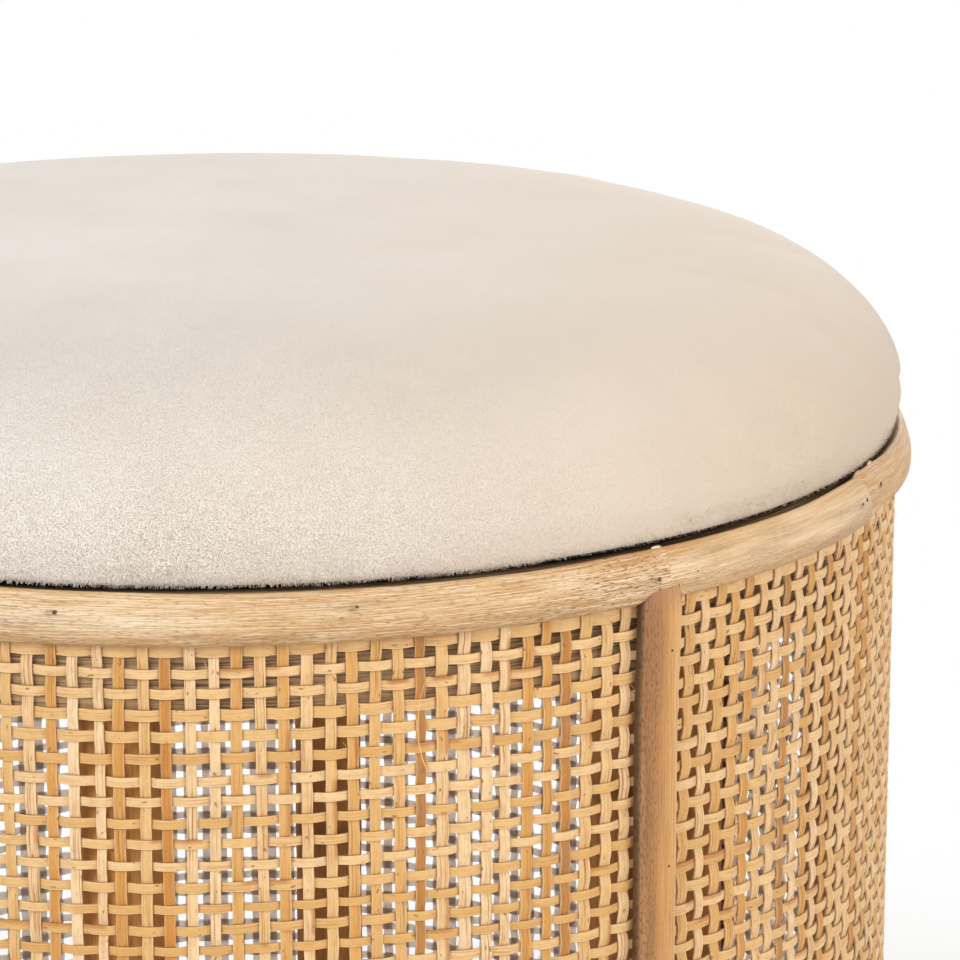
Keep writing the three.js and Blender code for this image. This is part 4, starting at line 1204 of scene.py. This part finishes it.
# %% Rattan posts
notch_radius = inner_hoop_radii[0] - 0.3
notch_low, notch_high = 32.3, 372.8
for number, bearing in enumerate(post_bearings, 1):
    rng = np.random.default_rng(90 + number)
    notch_edges = [notch_low - 0.1, notch_low + 0.1, notch_high - 0.1, notch_high + 0.1]
    height = np.unique(np.concatenate([np.linspace(0, inner_hoop_top, 82), notch_edges]))[:, None]
    turn = np.linspace(0, 2 * np.pi, 41)[None, :-1]
    node_height = np.array([70, 190, 310]) + rng.uniform(-45, 45, 3)
    off_node = np.min(np.abs(height - node_height[None, :]), axis=1)[:, None]
    knuckle = np.exp(-((off_node / 3.0) ** 2))
    swell, groove = np.exp(-((off_node / 7) ** 2)), np.exp(-((off_node / 0.8) ** 2))
    radius = post_radius - 0.35 + 0.35 * swell - 0.25 * groove
    radius = radius + 0.12 * wander(rng, 1, len(height), 9).T + 0.1 * np.cos(turn * 2 + number)
    middle = on_drum(post_centre_radius, bearing, 0)
    x = middle[0] + radius * np.cos(turn)
    y = middle[1] + radius * np.sin(turn)
    reach = np.hypot(x, y)
    in_notch = (height < notch_low) | (height > notch_high)
    shrink = np.where(in_notch & (reach > notch_radius), notch_radius / reach, 1)
    points = np.stack([x * shrink, y * shrink, height + 0 * x], -1)
    lay = np.stack([height + 0 * x, turn * post_radius + 100.0 * number + 0 * x], -1) * MM
    faces = tube_faces(1, len(height), turn.shape[1])
    piece = make_piece(f"post_{number}_pole", points, faces, lay, 45, knuckle=0.55 * knuckle + 0 * x)
    settle(piece, pole_finish, "frame_rattan", "drum", f"post_{number}")

# %% [markdown]
# ## The battens
# A batten is a split rattan, rounder than the hoops: its width goes as a cosine raised to the power
# 0.6 and its rise as a sine raised to the same power. Its ends follow the coping of the hoops. Half a
# cylinder would be simpler, but its edges would be too thin where they meet the cane.

# %% Battens
batten_rings = 141
for number, centre in enumerate(batten_bearings, 1):
    rng = np.random.default_rng(60 + number)
    turn = np.linspace(0, np.pi, 29)
    side = -np.sign(np.cos(turn)) * np.abs(np.cos(turn)) ** 0.6
    rise = np.maximum(0, np.sin(turn)) ** 0.6
    side = np.concatenate([side, np.linspace(1, -1, 9)[1:-1]])[None, :]
    rise = np.concatenate([rise, np.zeros(7)])[None, :]
    share = np.linspace(0, 1, batten_rings)[:, None]
    sway = 0.16 * wander(rng, 1, batten_rings, 6).T
    waist = 1 - 0.012 * (1 + wander(rng, 1, batten_rings, 8).T)
    across = side * batten_width / 2 * waist
    # The first batten is narrower on its right side, and stands 0.7 to 1.4 mm further left.
    if number == 1:
        below = ease((1 - share) * 11)
        narrowed = across * (1 - (0.4 + 0.4 * below) / (batten_width / 2))
        across = np.where(across > 0, narrowed, across) - 0.7 * (1 + below)
    bearing = centre + np.degrees(across / hoop_face_radius)
    cope = cope_at(bearing)
    low, high = bottom_wall_edge - batten_cope + 0.1, top_wall_edge + cope + 0.5 * (cope > 0)
    height = low + (high - low) * share
    depth = (batten_thickness - 0.12 + 0.1 * wander(rng, 1, batten_rings, 9).T) * rise
    top_round = 1 - 0.10 * ease((height - 391.5) / 3.5) - 0.10 * ease((15 - height) / 3.5)
    outward = on_drum(1.0, centre, 0.0)
    sideways = on_drum(1.0, centre + 90, 0.0)
    points = (
        outward * (hoop_back_radius + depth * top_round)[..., None]
        + sideways * (across + sway * rise)[..., None]
        + np.array([0, 0, 1]) * height[..., None]
    )
    lay = np.stack([height, across * 1.3 + 100.0 * number], -1) * MM
    turned = side if number % 2 else -side
    raw_end = 0.9 * ease((height - 388.5) / 6) + 0.9 * ease((17 - height) / 6)
    piece = make_piece(
        f"batten_{number}_split", points, tube_faces(1, batten_rings, side.shape[1]), lay, 55,
        across=turned / 2 + 0.5 + 0 * share, raw_end=raw_end,
    )
    settle(piece, brown_finish, "brown_rattan", "drum", f"batten_{number}")

# %% [markdown]
# ## Pins
# Headless steel pins hold the hoops, and small brads hold the battens every 59 mm. A pin shows as a
# dark spot about 1.2 mm across, and a few are thinner or thicker. One more brad holds the filler's end.
# All of them are one piece, because they share a finish and none of them moves.

# %% Pins and brads
usual_size, brad_size = 0.62, 0.5
first_long_pin, end_brad = 69.4, 64.95
odd_sizes = {unscarred_pin: 0.3, 64.0: 0.5, end_brad: 0.9, first_long_pin: 1.0}
bottom_pin_radius, batten_face_radius = 199.88, 200.36
pin_places = []
for bearing, rise in [*long_hoop_pins.items(), *filler_pins.items(), (end_brad, 1.2)]:
    along = 0.5 + rise / hoop_height
    out = 2 * np.sqrt(along * (1 - along))
    swell = hoop_swell - 0.8 * (bearing == first_long_pin)
    radius = hoop_back_radius - hoop_lean * along + swell * out**0.75
    pin_places.append((bearing, top_hoop_middle + rise, radius, odd_sizes.get(bearing, usual_size)))
pin_places += [(bearing, bottom_hoop_middle, bottom_pin_radius, usual_size) for bearing in bottom_hoop_pins]
pin_nodes = [f"top_hoop_pin_{k}" for k in range(1, 14)] + ["filler_pin_1", "filler_pin_2"]
pin_nodes += [f"bottom_hoop_pin_{k}" for k in range(1, 9)]
for number, centre in enumerate(batten_bearings, 1):
    heights = np.linspace(379.6, 26.7, 7)
    offsets = np.array([1.0, 0.6, -0.5, 0.8, -0.8, 0.4, 0.0])
    pin_places += [
        (centre + float(np.degrees(off / hoop_face_radius)), float(height), batten_face_radius, brad_size)
        for height, off in zip(heights, offsets)
    ]
    pin_nodes += [f"batten_{number}_upper_pin", f"batten_{number}_lower_pin"]
pin_array = np.array(pin_places)[:, :, None, None]
depth = np.array([-7.0, -0.15, 0.0, 0.12])[None, :, None]
share = np.array([1.0, 1.0, 0.85, 0.45])[None, :, None]
turn = np.linspace(0, 2 * np.pi, 13)[None, None, :-1]
spread = pin_array[:, 3] * share
points = on_drum(
    pin_array[:, 2] + depth + 0 * turn,
    pin_array[:, 0] + np.degrees(spread * np.cos(turn) / hoop_face_radius),
    pin_array[:, 1] + spread * np.sin(turn),
)
pin_piece = make_piece("pins_and_brads", points, tube_faces(len(pin_places), 4, 12), None, 70)
settle(pin_piece, pin_finish, "pin_steel", "drum", *pin_nodes)

# %% [markdown]
# ## The padded seat
# The seat is foam under velvet: a broad, almost level crown that rolls over into sides drawn in
# towards the rim, and a hem that turns in under the board. A square grid wrapped to a disc covers it
# without a pole, and a profile gives each ring of the grid its radius and height. Above the widest
# line the radius follows a sine to the power 0.33 and the height a cosine to the power 1.25. Below it
# the side draws in by 4.5 mm. A turned profile would be shorter to write, but its faces shrink to
# slivers at the middle, which shows in the cloth simulation and in the light on the crown.

# %% Pad profile
def resample(radius, height, steps):
    """Points at equal distances along a line given by many points, without the first one."""
    travel = np.concatenate([[0], np.cumsum(np.hypot(np.diff(radius), np.diff(height)))])
    wanted = np.linspace(0, travel[-1], steps + 1)[1:]
    return np.stack([np.interp(wanted, travel, radius), np.interp(wanted, travel, height)], 1)


pad_widest_radius, pad_widest_height = 196.3, 418.9
pad_crown_rise = 41.1
pad_side_bulge, pad_side_drop = 4.5, 11.9
heel_radius, heel_height = 188.0, 407.0
hem_radius, hem_height = 150.0, 405.4
board_radius, board_bottom, board_top = 186.3, 406.9, 416.5


def pad_side(turn):
    """Radius and height of the side, from its widest line at 0 to its foot at a quarter turn: the
    radius follows a cosine to the power 0.42 and the height a sine."""
    bulge = pad_side_bulge * np.maximum(0, np.cos(turn)) ** 0.42
    return pad_widest_radius - pad_side_bulge + bulge, pad_widest_height - pad_side_drop * np.sin(turn)


def pad_side_turn(height):
    """The turn at which the side has a given height."""
    return np.arcsin(np.minimum(1, (pad_widest_height - height) / pad_side_drop))


turn = np.linspace(0, np.pi / 2, 4000)
crown_height = pad_widest_height + pad_crown_rise * np.maximum(0, np.cos(turn)) ** 1.25
crown = resample(pad_widest_radius * np.sin(turn) ** 0.33, crown_height, 29)
side = resample(*pad_side(turn), 8)
heel = resample(heel_radius + 3.8 * np.cos(turn), heel_height - 1.6 * np.sin(turn), 3)
hem = resample(np.array([heel_radius, hem_radius]), np.array([hem_height, hem_height]), 8)
crown_top = pad_widest_height + pad_crown_rise
top_profile = np.concatenate([[[0, crown_top]], crown, side, heel, hem])
under_profile = np.concatenate(
    [
        [[hem_radius, hem_height]],
        resample(np.array([hem_radius, hem_radius]), np.array([hem_height, board_bottom]), 1),
        resample(np.array([hem_radius, board_radius]), np.array([board_bottom, board_bottom]), 7),
        resample(np.array([board_radius, board_radius]), np.array([board_bottom, board_top]), 3),
        resample(np.array([board_radius, 0.0]), np.array([board_top, board_top]), 37),
    ]
)[::-1]
rings = len(top_profile) - 1
print("pad profile has", rings, "rings above and", len(under_profile) - 1, "below")


# %% Pad surface on a wrapped grid
def wrapped_disc(rings, profile):
    """A square grid wrapped to a disc: the larger of the two coordinates picks the ring, and the
    share of the smaller one turns the point by up to an eighth of a turn either way."""
    line = np.arange(-rings, rings + 1)
    x, y = np.meshgrid(line, line)
    ring = np.maximum(np.abs(x), np.abs(y))
    across = np.abs(x) > np.abs(y)
    turn = np.where(across, y / np.where(x == 0, 1, x), 2 - x / np.where(y == 0, 1, y)) * np.pi / 4
    turn = turn + np.where(np.where(across, x, y) < 0, np.pi, 0)
    radius, height = profile[ring, 0], profile[ring, 1]
    return np.stack([radius * np.cos(turn), radius * np.sin(turn), height], -1), ring, turn


top_points, top_ring, top_turn = wrapped_disc(rings, top_profile)
under_points, under_ring, under_turn = wrapped_disc(rings, under_profile)
size = 2 * rings + 1
top_index = np.arange(size * size).reshape(size, size)
inside = under_ring < rings
under_index = top_index.copy()
under_index[inside] = size * size + np.arange(inside.sum())
pad_points = np.concatenate([top_points.reshape(-1, 3), under_points[inside]])
pad_ring = np.concatenate([top_ring.ravel(), 2 * rings - under_ring[inside]])
pad_turn = np.concatenate([top_turn.ravel(), under_turn[inside]])


def grid_quads(index):
    """Quads between neighbours of a grid of point numbers."""
    return np.stack([index[:-1, :-1], index[:-1, 1:], index[1:, 1:], index[1:, :-1]], -1).reshape(-1, 4)


pad_faces = [np.concatenate([grid_quads(top_index), grid_quads(under_index)[:, ::-1]])]
print("pad grid has", len(pad_points), "points")

# %% [markdown]
# Foam pushes the cover out and the hem holds it, so real padding is never quite even. A short cloth
# simulation gives that: the pad starts 1.5 mm smaller, air pressure stands in for the foam, and the
# hem and the underside are held. The rise that is the same all round is left to the profile, so only
# the unevenness is kept, capped at 1.2 mm. Then a small pucker is added above the heel, where the
# cover is drawn under.

# %% Let the cover swell
first_held_ring = 40
cloth_frames = 20
most_unevenness = 1.2


def swell_of_cover():
    """Displacement in mm of each point of the pad in a 20 frame cloth simulation, less its mean
    round each ring."""
    rng = np.random.default_rng(12)
    centre = np.array([0, 0, 425.0])
    inward = pad_points - centre
    shrunk = pad_points - 1.5 * inward / np.maximum(np.linalg.norm(inward, axis=1, keepdims=True), 1)
    shrunk[:, 2] += rng.normal(0, 0.05, len(shrunk)) * (pad_ring < first_held_ring)
    cover = make_piece("cover_in_tension", shrunk, pad_faces)
    held = cover.vertex_groups.new(name="held")
    held.add(np.flatnonzero(pad_ring >= first_held_ring).tolist(), 1.0, "REPLACE")
    cloth = cover.modifiers.new("cloth", "CLOTH")
    cloth.settings.quality = 6
    cloth.settings.mass = 0.35
    cloth.settings.tension_stiffness = 18
    cloth.settings.compression_stiffness = 18
    cloth.settings.shear_stiffness = 6
    cloth.settings.bending_stiffness = 0.6
    cloth.settings.vertex_group_mass = "held"
    cloth.settings.use_pressure = True
    cloth.settings.uniform_pressure_force = 4
    cloth.settings.effector_weights.gravity = 0
    cloth.point_cache.frame_start = 1
    cloth.point_cache.frame_end = cloth_frames
    scene = bpy.context.scene
    for number in range(1, cloth_frames + 1):
        scene.frame_set(number)
    settled = cover.evaluated_get(bpy.context.evaluated_depsgraph_get()).data
    swollen = np.empty(len(settled.vertices) * 3, np.float32)
    settled.vertices.foreach_get("co", swollen)
    scene.frame_set(1)
    bpy.data.objects.remove(cover)
    moved = swollen.reshape(-1, 3) / MM - shrunk
    outward = inward / np.maximum(np.linalg.norm(inward, axis=1, keepdims=True), 1)
    push = np.einsum("ij,ij->i", moved, outward)
    mean = np.bincount(pad_ring, push) / np.maximum(np.bincount(pad_ring), 1)
    uneven = np.clip(push - mean[pad_ring], -most_unevenness, most_unevenness)
    uneven = uneven * (1 - ease((pad_ring - 28) / 7))
    most, most_uneven = float(push.max()), float(np.abs(uneven).max())
    print("cover swelled by", round(most, 1), "mm, uneven by", round(most_uneven, 2))
    return uneven[:, None] * outward


pad_points = pad_points + swell_of_cover()
heel_share = ease((pad_ring - 29) / 7) * (1 - ease((pad_ring - 38) / 3))
pucker = 0.10 * np.sin(61 * pad_turn) + 0.08 * np.sin(37 * pad_turn + 1.3)
sideways = np.stack([np.cos(pad_turn), np.sin(pad_turn), 0 * pad_turn], -1)
pad_points = pad_points + (heel_share * (pucker - 0.1))[:, None] * sideways
pad = make_piece("seat_pad_cover", pad_points, pad_faces)
smooth = pad.modifiers.new("finer", "SUBSURF")
smooth.levels = smooth.render_levels = 1
settle(pad, velvet_finish, "velvet", "lid", "seat_pad")

# %% [markdown]
# Where the cover turns under, its pile is seen against the dark gap as a row of fine hairs. Small
# tapering blades, up to a millimetre long, stand on the lowest part of the side. Only there do single
# hairs show, so only there are they modelled.

# %% Nap along the lower edge
def shade_band_top(bearing):
    """Height of the upper edge of the black band painted as shade on the heel: low at the front, higher on the
    right.
    """
    wrapped = (bearing + 180) % 360 - 180
    return 407.3 + 0.75 * ease((wrapped - 22) / 12) - 0.4 * ease((wrapped - 75) / 30)


rng = np.random.default_rng(21)
blades = 30000
turn = rng.uniform(0, 2 * np.pi, blades)
drop = pad_side_turn(shade_band_top(np.degrees(turn) + 90)) * rng.uniform(0.35, 1.0, blades)
radius, height = pad_side(drop)
radius -= 0.25
length = rng.uniform(0.45, 0.95, blades)
lean_down = 0.1 + 0.75 * drop / (np.pi / 2) + rng.normal(0, 0.25, blades)
yaw = rng.normal(0, 0.3, blades)
root = np.stack([radius * np.cos(turn), radius * np.sin(turn), height], -1)
out = np.stack([np.cos(turn + yaw), np.sin(turn + yaw), 0 * turn], -1)
aside = np.stack([-np.sin(turn), np.cos(turn), 0 * turn], -1)
tip_way = out * np.cos(lean_down)[:, None] - np.array([0, 0, 1]) * np.sin(lean_down)[:, None]
spin = rng.uniform(-0.8, 0.8, blades)[:, None]
broad = aside * np.cos(spin) + np.array([0, 0, 1]) * np.sin(spin)
half = rng.uniform(0.07, 0.12, blades)[:, None]
tip = root + tip_way * length[:, None]
at_root, at_tip = broad * half, broad * half * 0.25
points = np.stack([root - at_root, root + at_root, tip + at_tip, tip - at_tip], 1)
nap = make_piece("seat_pad_nap", points, [np.arange(4 * blades).reshape(-1, 4)])
settle(nap, velvet_finish, "velvet", "lid")

# %% [markdown]
# A black band on the heel of the cover, where it is turned in under the pad, is painted shade: it
# stands for the deep shadow in the gap above the rim. It is a thin closed band whose outer side
# follows the heel and the lowest millimetre of the side, 0.2 mm outside them. A dark stripe in the
# velvet's colour would lack its edge.

# %% Heel band of painted shade
bearing = np.linspace(0, 360, 721)[:-1, None]
turn = np.linspace(np.pi / 2, 0, 8)[None, :]
climb = np.pi / 2 - (np.pi / 2 - pad_side_turn(shade_band_top(bearing))) * np.linspace(0.15, 1, 7)[None, :] ** 2
outer, rise = pad_side(climb)
outer += 0.25
plain = 0 * bearing
heel_round = heel_radius + 3.95 * np.cos(turn) + plain
heel_drop = heel_height - 1.72 * np.sin(turn) + plain
radius = np.hstack([heel_round, outer, outer[:, -1:] - 1.3, 190.3 + plain, 186.5 + plain])
height = np.hstack([heel_drop, rise, rise[:, -1:] + 0.1, 407.3 + plain, 405.8 + plain])
band = on_drum(radius, bearing, height)
rows = np.arange(band.shape[0] * band.shape[1]).reshape(band.shape[:2])
quads = np.stack([rows, np.roll(rows, -1, 1), np.roll(rows, (-1, -1), (0, 1)), np.roll(rows, -1, 0)], -1)
heel_shade_band = make_piece("seat_pad_heel_shade_band", band, [quads.reshape(-1, 4)])
settle(heel_shade_band, heel_shade_finish, "dust_cloth", "lid")

# %% [markdown]
# ## Under the seat
# A black cloth covers the open middle of the underside. It is stapled to the hem and sags by a
# millimetre or so. Four wooden blocks keep the seat from sliding off the drum. The cloth lies nearly
# still, so a bowl with small ripples at its edge stands in for a simulated sheet.

# %% Dust cloth
cloth_rings = 24
cloth_radius, cloth_height, cloth_sag, cloth_thickness = 164.9, 404.9, 1.6, 0.35
reach = np.linspace(0, 1, cloth_rings + 1)
disc_profile = np.stack([cloth_radius * reach, cloth_height - cloth_sag * (1 - reach**2)], 1)
cloth_points, cloth_ring, cloth_turn = wrapped_disc(cloth_rings, disc_profile)
size = 2 * cloth_rings + 1
index = np.arange(size * size).reshape(size, size)
ripple = 0.25 * np.sin(cloth_turn * 26) * ease((cloth_ring - 17) / 7) * (1 - ease((cloth_ring - 22) / 2))
cloth_points[..., 2] += ripple
lower = cloth_points - np.array([0, 0, cloth_thickness])
under = index + size * size
rim_in = np.concatenate([index[0, :-1], index[:-1, -1], index[-1, :0:-1], index[:0:-1, 0]])
rim_out = np.roll(rim_in, -1)
rim = np.stack([rim_in, rim_in + size * size, rim_out + size * size, rim_out], -1)
faces = [np.concatenate([grid_quads(index), grid_quads(under)[:, ::-1], rim])]
dust = make_piece("seat_dust_cloth", np.concatenate([cloth_points.reshape(-1, 3), lower.reshape(-1, 3)]), faces)
settle(dust, cloth_finish, "dust_cloth", "lid", "seat_dust_cover")

# %% Staples
staples = 30
staple_radius, staple_height = 160.5, 404.1
centre = (np.arange(staples) * 360 / staples)[:, None, None]
span = np.array([-5.0, -4.8, 4.8, 5.0])[None, :, None]
section = np.array([[0.3, 0.25], [-0.3, 0.25], [-0.3, -0.25], [0.3, -0.25]])
drop = np.array([0.35, 0.0, 0.0, 0.35])[None, :, None]
points = on_drum(
    staple_radius + section[None, None, :, 0] + 0 * span + 0 * centre,
    centre + np.degrees(span / staple_radius) + 0 * section[None, None, :, 0],
    staple_height + section[None, None, :, 1] + drop + 0 * centre,
)
staple_piece = make_piece("dust_cloth_staples", points, tube_faces(staples, 4, 4), None, 40)
settle(staple_piece, pin_finish, "pin_steel", "lid")

# %% Cleats
cleat_radius, cleat_middle = 160.93, 395.0
across, up = eased_rectangle(16, 18, 1.4)
for number in range(1, 5):
    bearing = post_bearings[2 * number - 1]
    along = np.array([-22, -21.4, -20.6, 20.6, 21.4, 22])[:, None]
    inset = np.array([0.88, 0.96, 1, 1, 0.96, 0.88])[:, None]
    outward = on_drum(1.0, bearing, 0.0)
    sideways = on_drum(1.0, bearing + 90, 0.0)
    points = (
        outward * (cleat_radius + across[None, :] * inset)[..., None]
        + sideways * (along + 0 * across)[..., None]
        + np.array([0, 0, 1]) * (cleat_middle + up[None, :] * inset)[..., None]
    )
    girth = np.cumsum(np.hypot(np.diff(across, prepend=across[-1:]), np.diff(up, prepend=up[-1:])))
    lay = np.stack([along + 0 * across + 60.0 * number, girth[None, :] + 0 * along], -1) * MM
    piece = make_piece(f"seat_cleat_{number}_block", points, tube_faces(1, 6, len(across)), lay, 50)
    settle(piece, cleat_finish, "bent_wood", "lid", f"seat_cleat_{number}")

# %% [markdown]
# ## Boards
# The bottom board and the board inside the pad keep their solids, which already have their true
# shape, notches and all. Made again they would look the same, so they only get the plywood finish.

# %% Finish the boards
for name in ("bottom_board", "seat_board"):
    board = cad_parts[name]
    if len(board.material_slots) == 0:
        board.data.materials.append(None)
    for slot in board.material_slots:
        slot.material = plywood_finish
    print(name, "has the plywood finish")

# %% [markdown]
# ## Light and floor
# Soft daylight from a white studio: a white world, a little warmer on the right, one broad lamp on
# the left, a warm one on the right and one behind, as a lit backdrop gives. The floor is pale near
# the stool, where it keeps the shadow, and turns to plain white further out for rays from the camera
# and for reflections, as a lit studio sweep does. A brighter lamp on the floor would whiten it too,
# but it would bleach the velvet as well.

# %% Rays that see the studio as plain white
def seen_rays(tree):
    """1 for rays from the camera and for reflected and transmitted ones, otherwise 0."""
    path = add_node(tree, "ShaderNodeLightPath")
    seen = path.outputs["Is Camera Ray"]
    for ray in ("Is Glossy Ray", "Is Transmission Ray"):
        seen = add_node(
            tree, "ShaderNodeMath", {0: seen, 1: path.outputs[ray]}, operation="MAXIMUM"
        ).outputs[0]
    return seen


# %% World
white = (1, 1, 1, 1)
warm_white = (1, 0.93, 0.85, 1)
world = bpy.data.worlds.new("studio")
bpy.context.scene.world = world
world.use_nodes = True
tree = world.node_tree
tree.nodes.clear()
seen = seen_rays(tree)
strength = add_node(tree, "ShaderNodeMapRange", {0: seen, 3: 0.6, 4: 1.0}).outputs[0]
way = add_node(tree, "ShaderNodeTexCoord").outputs["Generated"]
right = add_node(tree, "ShaderNodeSeparateXYZ", {0: way}).outputs[0]
warm_share = add_node(tree, "ShaderNodeMapRange", {0: right, 1: -0.4, 2: 0.9}).outputs[0]
warmth = add_node(
    tree, "ShaderNodeMix", {0: warm_share, 6: white, 7: warm_white}, data_type="RGBA"
).outputs[2]
tint = add_node(tree, "ShaderNodeMix", {0: seen, 6: warmth, 7: white}, data_type="RGBA").outputs[2]
sky = add_node(tree, "ShaderNodeBackground", {0: tint, 1: strength}).outputs[0]
add_node(tree, "ShaderNodeOutputWorld", {0: sky})
print("world", world.name)

# %% Lamps
lamps = [
    ("window", (-0.8, -1.8, 1.7), 1.0, 24, (1.0, 0.985, 0.96)),
    ("fill", (2.0, -1.1, 0.8), 1.4, 15.5, (1.0, 0.88, 0.72)),
    ("backdrop", (0.3, 2.1, 1.1), 1.6, 15, (1.0, 0.99, 1.0)),
]
lit_place = np.array([0, 0, 0.35])
for name, spot, width, energy, tint in lamps:
    lamp = bpy.data.lights.new(name, "AREA")
    lamp.size = width
    lamp.energy = energy
    lamp.color = tint
    stand = bpy.data.objects.new(name, lamp)
    stand.location = spot
    aim = lit_place - np.array(spot)
    stand.rotation_euler = (
        math.atan2(math.hypot(aim[0], aim[1]), -aim[2]), 0, math.atan2(aim[1], aim[0]) - math.pi / 2
    )
    bpy.context.scene.collection.objects.link(stand)
    print(name, "lamp,", energy, "W,", width, "m wide")

# %% Floor
floor_finish, tree, shader = start_finish("studio_floor", Base_Color=linear("#F1F0EE"), Roughness=0.8)
place = add_node(tree, "ShaderNodeTexCoord").outputs["Object"]
distance = add_node(tree, "ShaderNodeVectorMath", {0: place}, operation="LENGTH").outputs["Value"]
far = add_node(
    tree, "ShaderNodeMapRange", {0: distance, 1: 0.32, 2: 0.85}, interpolation_type="SMOOTHSTEP"
).outputs[0]
seen = seen_rays(tree)
share = add_node(tree, "ShaderNodeMath", {0: far, 1: seen}, operation="MULTIPLY").outputs[0]
glow = add_node(tree, "ShaderNodeEmission", {0: white, 1: 1.0}).outputs[0]
both = add_node(tree, "ShaderNodeMixShader", {0: share, 1: shader.outputs[0], 2: glow}).outputs[0]
tree.links.new(both, tree.nodes["Material Output"].inputs[0])
floor_half = 6000
corners = floor_half * np.array([[-1, -1, 0], [1, -1, 0], [1, 1, 0], [-1, 1, 0]], float)
floor = make_piece("floor", corners, [np.array([[0, 1, 2, 3]])])
floor.data.materials.append(floor_finish)
print("floor is", 2 * floor_half * MM, "m wide")

# %% Colours as written
bpy.context.scene.view_settings.view_transform = "Standard"
